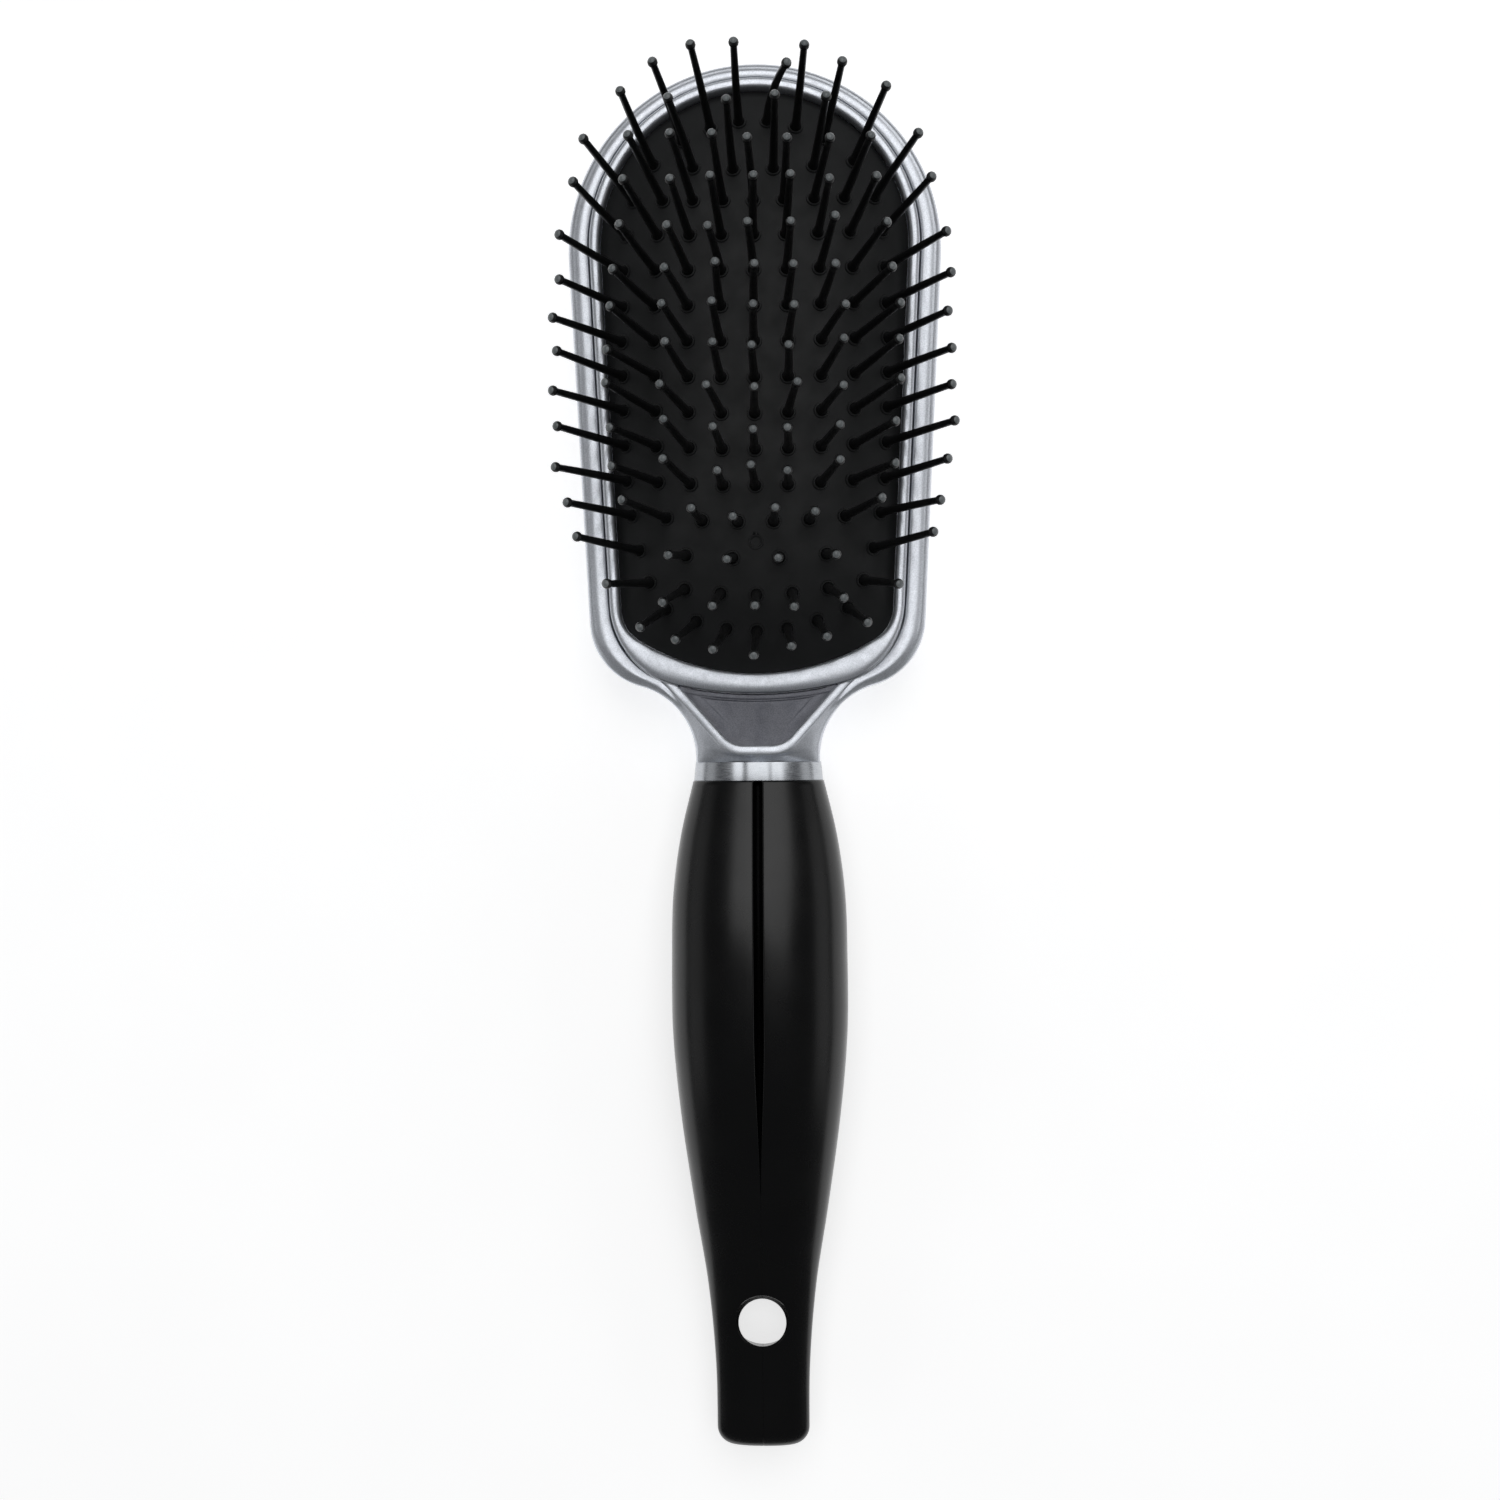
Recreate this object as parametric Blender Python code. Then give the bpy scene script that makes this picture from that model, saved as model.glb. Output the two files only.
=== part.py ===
"""Cushioned paddle hair brush, lying on its back with its pins up.

Frame: +Y runs from the handle to the tip of the head, +X across the brush and +Z from the
back towards the pins. The origin is the middle of the bounding box's underside. All sizes
are in metres.

The paddle body carries a tray. A domed rubber cushion lies on the tray's ledge, clamped by
the bezel, and closes an air chamber. Rows of nylon pins, each row one moulding on a thin
strip under the cushion, stand through holes in it. The body's tang runs through the ferrule
into a handle made of a left and a right shell, which meet along the middle of the handle.
"""

import functools
import math

import bmesh
import bpy
from mathutils import Vector

# Overall length, and what meets what.
BODY_LENGTH = 0.240
GAP = 0.0003  # between neighbouring pieces
TIP_Y = BODY_LENGTH / 2
END_Y = -BODY_LENGTH / 2

# Paddle, seen from above: a round cap, tapering sides, and shoulders that run into the neck.
TAPER = math.radians(2.9)
CAP_RADIUS = 0.0324
CAP_CENTRE = Vector((0.0, TIP_Y - CAP_RADIUS))
SHOULDER_RADIUS = 0.012
NECK_RADIUS = 0.013
NECK_HALF_WIDTH = 0.01075
NECK_STRAIGHT_Y = -0.0005
NECK_END_Y = -0.0009

# Paddle, seen from the side.
RIM_Z = 0.012
BACK_ROUND_WIDTH = 0.0045
BACK_ROUND_HEIGHT = 0.005
RIM_ROUND = 0.0012
LEDGE_Z = 0.0087
FLOOR_Z = 0.0024
SEAT_GROW = 0.0003  # round the bezel
CHAMBER_GROW = -0.0006

# Opening for the cushion: round cap, tapering sides, small corners and a shallow foot arc.
OPENING_RADIUS = 0.0269
OPENING_CENTRE = Vector((0.0, 0.0884))
OPENING_FOOT_Y = 0.0140
FOOT_RADIUS = 0.039
CORNER_RADIUS = 0.0065

# Bezel that clamps the cushion. It is as wide as BEZEL_GROW, and wider towards the neck.
BEZEL_GROW = 0.0017
BEZEL_CORNER_RADIUS = 0.0147
BEZEL_FOOT_Y = 0.0107
BEZEL_FOOT_RADIUS = 0.064
BEZEL_TOP_Z = 0.0130
BEZEL_BOTTOM_Z = 0.0105
BEZEL_ROUND = 0.0007

# Cushion: a thin skin, domed by the power DOME_POWER of the distance from its middle.
SKIN = 0.00105
CUSHION_GROW = -0.0004
FLANGE_GROW = 0.0016
FLANGE_BOTTOM_Z = 0.0090
FLANGE_TOP_Z = 0.0102
DOME_EDGE_Z = 0.0112
DOME_HEIGHT = 0.0058
DOME_POWER = 2.9
DOME_CENTRE = Vector((0.0, (OPENING_FOOT_Y + OPENING_CENTRE.y + OPENING_RADIUS) / 2))
VENT_RADIUS = 0.0008
VENT_Y = 0.0362

# Pins.
PIN_LENGTH = 0.0205  # above the cushion
PIN_ROOT_RADIUS = 0.0008
PIN_NECK_RADIUS = 0.00058
PIN_BALL_RADIUS = 0.00095
PIN_SIDES = 6
STRIP_DEPTH = 0.0021  # of the strip's middle, below the cushion's surface
STRIP_HALF_WIDTH = 0.0012
STRIP_HALF_THICKNESS = 0.0005
STRIP_OVERHANG = 0.0009
FIRST_ROW_Y = 0.0213
ROW_PITCH = 0.0061
# Each row from the handle to the tip: number of pins, half the row's width, and how much it
# arches, as y = row + arch * x * x.
PIN_ROWS = (
    (7, 0.0156, 16.0),
    (7, 0.0184, 7.0),
    (6, 0.0200, 4.5),
    (8, 0.0213, 4.0),
    (9, 0.0221, 3.5),
    (9, 0.0224, 3.5),
    (9, 0.0226, 3.3),
    (9, 0.0227, 3.0),
    (9, 0.0228, 2.5),
    (9, 0.0226, 2.2),
    (9, 0.0224, 2.2),
    (9, 0.0219, 2.5),
    (9, 0.0207, 2.5),
    (6, 0.0172, 6.0),
    (6, 0.0122, -22.0),
)
ROW_SHIFTS = {13: -0.0005, 14: 0.0025}  # the last two rows stand off the regular pitch

# Neck: half width, lowest and highest z, and squareness of each section, then the spigot
# in the ferrule and the tang in the handle.
NECK_SECTIONS = (
    (0.0110, 0.0150, 0.0006, 0.0114, 4.0),
    (0.0075, 0.0121, 0.0005, 0.0127, 3.4),
    (0.0038, 0.0109, 0.0007, 0.0139, 2.9),
    (0.0010, 0.0106, 0.0010, 0.0149, 2.6),
    (NECK_END_Y, 0.0105, 0.0013, 0.0153, 2.5),
)
SPIGOT = (0.0093, 0.0024, 0.0142, 2.5)
TANG_ROOT = (0.0084, 0.0045, 0.0138, 2.5)
TANG_SECTIONS = (
    (-0.0080, *TANG_ROOT),
    (-0.0180, 0.0052, 0.0062, 0.0160, 4.0),
    (-0.0600, 0.0046, 0.0068, 0.0152, 4.0),
    (-0.0720, 0.0036, 0.0080, 0.0140, 4.0),
)

# Neck panel: a rounded trapezium whose floor slopes up towards the handle.
PANEL_FOOT_Y = 0.0009
PANEL_FOOT_HALF_WIDTH = 0.0049
PANEL_TOP_HALF_WIDTH = 0.0150
PANEL_FOOT_RADIUS = 0.0055
PANEL_TOP_RADIUS = 0.0006
PANEL_FLOOR_Z = 0.0096  # at PANEL_LOW_Y
PANEL_LOW_Y = 0.012
PANEL_SLOPE = 0.30
PANEL_THICKNESS = 0.0008

# Ferrule.
FERRULE_TOP_Y = NECK_END_Y - GAP
FERRULE_END_Y = -0.0042
FERRULE_TOP = (0.0110, 0.0010, 0.0157, 2.4)
FERRULE_END = (0.0113, 0.0008, 0.0160, 2.4)
FERRULE_EDGE = 0.0004

# Handle: y, half width, lowest and highest z.
HANDLE_TOP_Y = FERRULE_END_Y - GAP
HANDLE_STATIONS = (
    (HANDLE_TOP_Y, 0.0114, 0.0011, 0.0166),
    (-0.0140, 0.0136, 0.0005, 0.0192),
    (-0.0240, 0.0149, 0.0001, 0.0213),
    (-0.0350, 0.0152, 0.0000, 0.0220),
    (-0.0480, 0.0151, 0.0002, 0.0217),
    (-0.0620, 0.01385, 0.0009, 0.0203),
    (-0.0780, 0.0116, 0.0030, 0.0174),
    (-0.0920, 0.0094, 0.0052, 0.0143),
    (-0.1060, 0.0082, 0.0063, 0.0126),
    (END_Y, 0.0080, 0.0064, 0.0121),
)
HANDLE_SQUARENESS = 2.3
HANDLE_END_ROUND = 0.0031
HANDLE_END_DROP = 0.0019  # of the faces, over the rounded end
HANDLE_STEP = 0.0058
HANDLE_WALL = 0.0024
CAVITY_END_Y = -0.084
SEAM_HALF_GAP = 0.00015
GROOVE_HALF_WIDTH = 0.0006
GROOVE_DEPTH = 0.0007

# Hanging hole, with a countersink on both faces, the deeper one on the back.
HOLE_Y = -0.0978
HOLE_RADIUS = 0.0041
FRONT_COUNTERSINK = 0.0007
BACK_FLARE = 0.0022  # of the bore, from the front to the back

# Pegs of the left shell, through the tang into the right shell's bosses.
PEG_YS = (-0.028, -0.056)
PEG_Z = 0.0110
PEG_RADIUS = 0.0018
BOSS_RADIUS = 0.0036
PEG_REACH = 0.0090
SOCKET_DEPTH_X = 0.0096
BOSS_INNER_X = 0.0056
BOSS_INTO_WALL = 0.0012

ROUND_SIDES = 16


# ---------------------------------------------------------------- materials


def material(name, colour, roughness, metallic=0.0):
    made = bpy.data.materials.new(name)
    made.use_nodes = True
    shader = made.node_tree.nodes["Principled BSDF"]
    shader.inputs["Base Color"].default_value = (*colour, 1.0)
    shader.inputs["Roughness"].default_value = roughness
    shader.inputs["Metallic"].default_value = metallic
    return made


# ------------------------------------------------------------ outlines in XY


def arc(centre, radius, start, end, steps):
    """Points on an arc, both ends included, with the angles in radians."""
    angles = [start + (end - start) * i / steps for i in range(steps + 1)]
    return [centre + radius * Vector((math.cos(a), math.sin(a))) for a in angles]


def between(a, b, pieces):
    """The points that divide the way from a to b, without its ends."""
    return [a.lerp(b, i / pieces) for i in range(1, pieces)]


def mirrored(half):
    """The whole outline from its +X half, which starts and ends at x = 0."""
    return half + [Vector((-p.x, p.y)) for p in reversed(half[1:-1])]


def side_normal():
    return Vector((math.cos(TAPER), -math.sin(TAPER)))


def centre_beside_side(cap_centre, cap_radius, radius, y):
    """Centre at height y of a circle of this radius that touches the tapering side."""
    normal = side_normal()
    reach = normal.dot(cap_centre) + cap_radius - radius
    return Vector(((reach - normal.y * y) / normal.x, y))


def solve_y(error, low, high):
    """The height between low and high at which error changes sign, by bisection."""
    rising = error(high) > 0
    for _ in range(50):
        middle = (low + high) / 2
        if (error(middle) > 0) == rising:
            high = middle
        else:
            low = middle
    return (low + high) / 2


def angle_of(vector):
    return math.atan2(vector.y, vector.x)


def paddle_outline(grow):
    """Outline of the head down to the end of the neck, grown outwards by grow."""
    neck_centre = Vector((NECK_HALF_WIDTH + NECK_RADIUS, NECK_STRAIGHT_Y))

    def shoulder(y):
        return centre_beside_side(CAP_CENTRE, CAP_RADIUS, SHOULDER_RADIUS, y)

    y = solve_y(
        lambda y: (shoulder(y) - neck_centre).length - SHOULDER_RADIUS - NECK_RADIUS,
        0.015,
        0.040,
    )
    turn = angle_of(neck_centre - shoulder(y))
    cap = arc(CAP_CENTRE, CAP_RADIUS + grow, math.pi / 2, -TAPER, 10)
    corner = arc(shoulder(y), SHOULDER_RADIUS + grow, -TAPER, turn, 4)
    neck = arc(neck_centre, NECK_RADIUS - grow, turn + math.pi, math.pi, 5)
    half = cap + between(cap[-1], corner[0], 4) + corner + neck[1:]
    half.append(Vector((0.0, NECK_STRAIGHT_Y)))
    return mirrored(half)


def tapered_outline(cap_radius, corner_radius, foot_y, foot_radius, grow):
    """Round cap, tapering sides, rounded corners and a shallow foot, grown by grow."""
    foot_centre = Vector((0.0, foot_y + foot_radius))

    def corner_centre(y):
        return centre_beside_side(OPENING_CENTRE, cap_radius, corner_radius, y)

    reach = foot_radius - corner_radius
    y = solve_y(
        lambda y: (corner_centre(y) - foot_centre).length - reach, 0.050, 0.015
    )
    turn = angle_of(corner_centre(y) - foot_centre)
    cap = arc(OPENING_CENTRE, cap_radius + grow, math.pi / 2, -TAPER, 10)
    corner = arc(corner_centre(y), corner_radius + grow, -TAPER, turn, 4)
    foot = arc(foot_centre, foot_radius + grow, turn, -math.pi / 2, 6)
    return mirrored(cap + between(cap[-1], corner[0], 4) + corner + foot[1:])


def opening_outline(grow):
    """Outline of the cushion's opening, grown outwards by grow."""
    shape = (OPENING_RADIUS, CORNER_RADIUS, OPENING_FOOT_Y, FOOT_RADIUS)
    return tapered_outline(*shape, grow)


def bezel_outline(grow):
    """Outside of the bezel, grown outwards by grow."""
    cap_radius = OPENING_RADIUS + BEZEL_GROW
    shape = (cap_radius, BEZEL_CORNER_RADIUS, BEZEL_FOOT_Y, BEZEL_FOOT_RADIUS)
    return tapered_outline(*shape, grow)


def rounded_polygon(corners, radii, steps):
    """A convex polygon whose corners are arcs."""
    points = []
    for i, corner in enumerate(corners):
        back = (corners[i - 1] - corner).normalized()
        ahead = (corners[(i + 1) % len(corners)] - corner).normalized()
        half_angle = back.angle(ahead) / 2
        centre = corner + (back + ahead).normalized() * radii[i] / math.sin(half_angle)
        along = radii[i] / math.tan(half_angle)
        start = angle_of(corner + back * along - centre)
        sweep = angle_of(corner + ahead * along - centre) - start
        sweep = (sweep + math.pi) % (2 * math.pi) - math.pi
        points += arc(centre, radii[i], start, start + sweep, steps)
    return points


def panel_outline(grow):
    """Outline of the neck panel. Its upper edge is the bezel's foot."""
    centre = Vector((0.0, BEZEL_FOOT_Y + BEZEL_FOOT_RADIUS))
    seat = BEZEL_FOOT_RADIUS - grow
    half_width = PANEL_TOP_HALF_WIDTH + grow
    foot = PANEL_FOOT_HALF_WIDTH + grow
    top_y = centre.y - math.sqrt(seat**2 - half_width**2)
    foot_y = PANEL_FOOT_Y - grow
    corners = [
        Vector((-half_width, top_y)),
        Vector((-foot, foot_y)),
        Vector((foot, foot_y)),
        Vector((half_width, top_y)),
    ]
    radii = [PANEL_TOP_RADIUS, PANEL_FOOT_RADIUS, PANEL_FOOT_RADIUS, PANEL_TOP_RADIUS]
    points = rounded_polygon(corners, radii, 5)
    edge = angle_of(points[-1] - centre)
    upper = arc(centre, seat, edge, -math.pi - edge, 8)
    return points + upper[1:-1]


# --------------------------------------------------------- sections in XZ


def signed_power(value, power):
    return math.copysign(abs(value) ** power, value)


def superellipse(y, half_width, low, high, squareness, sides=24):
    """A loop of points round the Y axis at this y."""
    middle, half_height = (low + high) / 2, (high - low) / 2
    loop = []
    for i in range(sides):
        angle = 2 * math.pi * i / sides
        x = half_width * signed_power(math.cos(angle), 2 / squareness)
        z = half_height * signed_power(math.sin(angle), 2 / squareness)
        loop.append(Vector((x, y, middle + z)))
    return loop


def handle_size(y):
    """Half width, lowest and highest z of the handle at y, smoothly between stations."""
    stations = HANDLE_STATIONS
    last = len(stations) - 1
    i = next((k for k in range(last) if y >= stations[k + 1][0]), last - 1)

    def slope(k, value):
        a, b = stations[max(k - 1, 0)], stations[min(k + 1, last)]
        return (b[value] - a[value]) / (b[0] - a[0])

    a, b = stations[i], stations[i + 1]
    span = b[0] - a[0]
    t = min(max((y - a[0]) / span, 0.0), 1.0)
    return [
        (2 * t**3 - 3 * t**2 + 1) * a[v]
        + (t**3 - 2 * t**2 + t) * span * slope(i, v)
        + (3 * t**2 - 2 * t**3) * b[v]
        + (t**3 - t**2) * span * slope(i + 1, v)
        for v in (1, 2, 3)
    ]


# ------------------------------------------------------------- solids


def loft(loops, ring=False):
    """Mesh through loops of equal length, capped at both ends, or closed on itself."""
    mesh = bmesh.new()
    rows = [[mesh.verts.new(p) for p in loop] for loop in loops]
    pairs = list(zip(rows, rows[1:]))
    if ring:
        pairs.append((rows[-1], rows[0]))
    for a, b in pairs:
        for i in range(len(a)):
            j = (i + 1) % len(a)
            mesh.faces.new((a[i], a[j], b[j], b[i]))
    if not ring:
        mesh.faces.new(rows[0])
        mesh.faces.new(rows[-1])
    bmesh.ops.recalc_face_normals(mesh, faces=mesh.faces)
    return mesh


def add_object(name, mesh, surface=None, parent=None, origin=None):
    """An object of this mesh, which it frees, with its origin at the point origin."""
    origin = origin or Vector()
    bmesh.ops.translate(mesh, vec=-origin, verts=mesh.verts)
    data = bpy.data.meshes.new(name)
    mesh.to_mesh(data)
    mesh.free()
    data.shade_smooth()
    data.set_sharp_from_angle(angle=math.radians(30))
    made = bpy.data.objects.new(name, data)
    bpy.context.scene.collection.objects.link(made)
    made.parent = parent
    made.location = origin
    if surface is None:
        made.hide_render = True
        made.display_type = "WIRE"
    else:
        data.materials.append(surface)
    return made


def combine(target, other, operation):
    """Joins the helper other to target, or cuts it away, by a Boolean."""
    modifier = target.modifiers.new(f"{operation.lower()}_{other.name}", "BOOLEAN")
    modifier.operation = operation
    modifier.solver = "EXACT"
    modifier.object = other


def flat(outline, z):
    """The outline at one height, or at the height that the function z gives."""
    return [Vector((p.x, p.y, z(p) if callable(z) else z)) for p in outline]


def rod(start, end, radius, sides=ROUND_SIDES):
    """A straight round bar from start to end."""
    axis = (end - start).normalized()
    across = axis.orthogonal().normalized()
    along = axis.cross(across)
    angles = [2 * math.pi * i / sides for i in range(sides)]
    spokes = [across * math.cos(a) + along * math.sin(a) for a in angles]
    return loft([[p + s * radius for s in spokes] for p in (start, end)])


# ------------------------------------------------------------- the cushion


@functools.cache
def cushion_edge():
    return opening_outline(CUSHION_GROW)


def dome_share(x, y):
    """How far out a point lies: 0 at the cushion's middle, 1 at its edge."""
    ray = Vector((x, y)) - DOME_CENTRE
    if ray.length < 1e-9:
        return 0.0
    edge = cushion_edge()
    for a, b in zip(edge, edge[1:] + edge[:1]):
        a, b = a - DOME_CENTRE, b - DOME_CENTRE
        side = b - a
        turn = ray.x * side.y - ray.y * side.x
        if abs(turn) < 1e-15:
            continue
        reach = (a.x * side.y - a.y * side.x) / turn
        place = (a.x * ray.y - a.y * ray.x) / turn
        if reach > 0 and -1e-9 <= place <= 1 + 1e-9:
            return 1 / reach
    raise ValueError("the ray leaves the cushion nowhere")


def dome_point(x, y):
    """The cushion's surface at x, y."""
    height = DOME_HEIGHT * (1 - dome_share(x, y) ** DOME_POWER)
    return Vector((x, y, DOME_EDGE_Z + height))


def dome_normal(x, y):
    step = 0.0002
    along_x = dome_point(x + step, y) - dome_point(x - step, y)
    along_y = dome_point(x, y + step) - dome_point(x, y - step)
    return along_x.cross(along_y).normalized()


def dome_loops(grow, edge_z, height, shares):
    """Scaled copies of the opening's outline, lifted to the dome."""
    outline = opening_outline(grow)
    return [
        flat(
            [DOME_CENTRE + (p - DOME_CENTRE) * share for p in outline],
            edge_z + height * (1 - share**DOME_POWER),
        )
        for share in shares
    ]


def air_cushion(parent, surface, pins):
    inner_grow = CUSHION_GROW - 0.0010
    inner_edge_z = DOME_EDGE_Z - 0.0007
    inner_height = DOME_EDGE_Z + DOME_HEIGHT - SKIN - inner_edge_z
    outside = (0.12, 0.30, 0.50, 0.68, 0.83, 0.94, 1.0)
    inside = (1.0, 0.85, 0.6, 0.3, 0.12)
    loops = dome_loops(CUSHION_GROW, DOME_EDGE_Z, DOME_HEIGHT, outside)
    loops += [
        flat(opening_outline(CUSHION_GROW), FLANGE_TOP_Z),
        flat(opening_outline(FLANGE_GROW), FLANGE_TOP_Z),
        flat(opening_outline(FLANGE_GROW), FLANGE_BOTTOM_Z),
        flat(opening_outline(inner_grow), FLANGE_BOTTOM_Z),
    ]
    loops += dome_loops(inner_grow, inner_edge_z, inner_height, inside)
    cushion = add_object("air_cushion", loft(loops), surface, parent)
    holes = bmesh.new()
    clear = (PIN_ROOT_RADIUS + GAP) / math.cos(math.pi / PIN_SIDES)
    bars = [(point, normal, clear) for row in pins for point, normal in row]
    vent = dome_point(0.0, VENT_Y)
    bars.append((vent, Vector((0.0, 0.0, 1.0)), VENT_RADIUS))
    for point, normal, radius in bars:
        reach = normal * 2.5 * SKIN
        bar = rod(point - reach, point + reach, radius, PIN_SIDES)
        append(holes, bar)
    combine(cushion, add_object("pin_hole_cutter", holes, parent=parent), "DIFFERENCE")
    return cushion


# ------------------------------------------------------------- the pins


def append(mesh, other):
    """Adds the bmesh other to mesh, and frees it."""
    copy = bpy.data.meshes.new("copy")
    other.to_mesh(copy)
    other.free()
    mesh.from_mesh(copy)
    bpy.data.meshes.remove(copy)


def row_y(row, x):
    middle = FIRST_ROW_Y + row * ROW_PITCH + ROW_SHIFTS.get(row, 0.0)
    return middle + PIN_ROWS[row][2] * x * x


def row_pins(row):
    """The surface point and direction of each pin of a row, from -X to +X."""
    count, half_width, _ = PIN_ROWS[row]
    pins = []
    for i in range(count):
        x = half_width * (2 * i / (count - 1) - 1)
        y = row_y(row, x)
        pins.append((dome_point(x, y), dome_normal(x, y)))
    return pins


def pin(point, normal):
    """One pin: a tapering shaft with a ball tip, rooted in the strip."""
    across = normal.orthogonal().normalized()
    along = normal.cross(across)
    ball = PIN_LENGTH - PIN_BALL_RADIUS
    profile = (
        (-STRIP_DEPTH, PIN_ROOT_RADIUS),
        (ball - 0.9 * PIN_BALL_RADIUS, PIN_NECK_RADIUS),
        (ball, PIN_BALL_RADIUS),
        (PIN_LENGTH, 0.45 * PIN_BALL_RADIUS),
    )
    loops = []
    for height, radius in profile:
        centre = point + normal * height
        angles = [2 * math.pi * i / PIN_SIDES for i in range(PIN_SIDES)]
        loops.append(
            [
                centre + (across * math.cos(a) + along * math.sin(a)) * radius
                for a in angles
            ]
        )
    return loft(loops)


def strip(pins):
    """The thin strip that joins a row's pins under the cushion."""
    roots = [point - normal * STRIP_DEPTH for point, normal in pins]
    first = (roots[0] - roots[1]).normalized() * STRIP_OVERHANG
    last = (roots[-1] - roots[-2]).normalized() * STRIP_OVERHANG
    roots = [roots[0] + first, *roots, roots[-1] + last]
    up = Vector((0.0, 0.0, STRIP_HALF_THICKNESS))
    loops = []
    for i, root in enumerate(roots):
        ahead = roots[min(i + 1, len(roots) - 1)] - roots[max(i - 1, 0)]
        side = Vector((-ahead.y, ahead.x, 0.0)).normalized() * STRIP_HALF_WIDTH
        loops.append(
            [root + side + up, root - side + up, root - side - up, root + side - up]
        )
    return loft(loops)


def pin_row(row, pins, parent, surface):
    """A row, with its origin on the line that it slides along."""
    name = f"pin_row_{row + 1:02d}"
    middle = Vector((0.0, row_y(row, 0.0), DOME_EDGE_Z))
    made = add_object(name, strip(pins), surface, parent, middle)
    shafts = bmesh.new()
    for point, normal in pins:
        append(shafts, pin(point, normal))
    shafts = add_object(f"{name}_shafts", shafts, parent=parent, origin=middle)
    combine(made, shafts, "UNION")
    return made


# ------------------------------------------------------- the paddle body


def paddle_slab():
    """The solid head: loops up the outside and over the rim."""
    loops = []
    for i in range(5):
        angle = math.pi / 2 * i / 4
        inset = BACK_ROUND_WIDTH * (1 - math.sin(angle))
        height = BACK_ROUND_HEIGHT * (1 - math.cos(angle))
        loops.append(flat(paddle_outline(-inset), height))
    for i in range(3):
        angle = math.pi / 2 * i / 2
        inset = RIM_ROUND * (1 - math.cos(angle))
        height = RIM_Z - RIM_ROUND * (1 - math.sin(angle))
        loops.append(flat(paddle_outline(-inset), height))
    return loft(loops)


def neck_and_tang():
    """The hump of the neck, the spigot in the ferrule, and the tang in the handle."""
    loops = [superellipse(*section) for section in NECK_SECTIONS]
    loops.append(superellipse(NECK_END_Y, *SPIGOT))
    loops.append(superellipse(FERRULE_END_Y, *SPIGOT))
    loops.append(superellipse(FERRULE_END_Y, *TANG_ROOT))
    loops += [superellipse(*section) for section in TANG_SECTIONS]
    return loft(loops)


def panel_floor(p):
    return PANEL_FLOOR_Z + PANEL_SLOPE * (PANEL_LOW_Y - p.y)


def paddle_body(parent, surface):
    body = add_object("paddle_body", paddle_slab(), surface, parent)
    neck = add_object("neck_and_tang", neck_and_tang(), parent=body)
    combine(body, neck, "UNION")
    seat = bezel_outline(SEAT_GROW)
    seat = loft([flat(seat, BEZEL_BOTTOM_Z - GAP), flat(seat, 0.020)])
    combine(body, add_object("bezel_seat", seat, parent=body), "DIFFERENCE")
    ledge = opening_outline(FLANGE_GROW + GAP)
    ledge = loft([flat(ledge, LEDGE_Z), flat(ledge, 0.020)])
    combine(body, add_object("cushion_ledge", ledge, parent=body), "DIFFERENCE")
    chamber = opening_outline(CHAMBER_GROW)
    chamber = loft([flat(chamber, FLOOR_Z), flat(chamber, 0.020)])
    combine(body, add_object("air_chamber", chamber, parent=body), "DIFFERENCE")
    outline = panel_outline(0.0)
    pocket = loft([flat(outline, panel_floor), flat(outline, 0.020)])
    combine(body, add_object("panel_pocket", pocket, parent=body), "DIFFERENCE")
    holes = bmesh.new()
    for y in PEG_YS:
        start = Vector((-0.008, y, PEG_Z))
        append(holes, rod(start, Vector((0.008, y, PEG_Z)), PEG_RADIUS + 0.0004))
    combine(body, add_object("peg_hole_cutter", holes, parent=body), "DIFFERENCE")
    return body


def neck_panel(parent, surface):
    outline = panel_outline(-GAP)
    under = flat(outline, lambda p: panel_floor(p) + GAP)
    over = flat(outline, lambda p: panel_floor(p) + GAP + PANEL_THICKNESS)
    return add_object("neck_panel", loft([under, over]), surface, parent)


def cushion_bezel(parent, surface):
    soft = 0.3 * BEZEL_ROUND
    rounded = BEZEL_TOP_Z - BEZEL_ROUND
    ring = [
        flat(opening_outline(0.0), BEZEL_BOTTOM_Z),
        flat(bezel_outline(0.0), BEZEL_BOTTOM_Z),
        flat(bezel_outline(0.0), rounded),
        flat(bezel_outline(-soft), BEZEL_TOP_Z - soft),
        flat(bezel_outline(-BEZEL_ROUND), BEZEL_TOP_Z),
        flat(opening_outline(BEZEL_ROUND), BEZEL_TOP_Z),
        flat(opening_outline(soft), BEZEL_TOP_Z - soft),
        flat(opening_outline(0.0), rounded),
    ]
    return add_object("cushion_bezel", loft(ring, ring=True), surface, parent)


def ferrule(parent, surface):
    half_width, low, high, squareness = SPIGOT
    inner = (half_width + GAP, low - GAP, high + GAP, squareness)
    edge = FERRULE_EDGE

    def inset(section):
        half, bottom, top, square = section
        return (half - edge, bottom + edge, top - edge, square)

    loops = [
        superellipse(FERRULE_TOP_Y, *inner),
        superellipse(FERRULE_TOP_Y, *inset(FERRULE_TOP)),
        superellipse(FERRULE_TOP_Y - edge, *FERRULE_TOP),
        superellipse(FERRULE_END_Y + edge, *FERRULE_END),
        superellipse(FERRULE_END_Y, *inset(FERRULE_END)),
        superellipse(FERRULE_END_Y, *inner),
    ]
    return add_object("ferrule", loft(loops, ring=True), surface, parent)


# ------------------------------------------------------------- the handle


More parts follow.
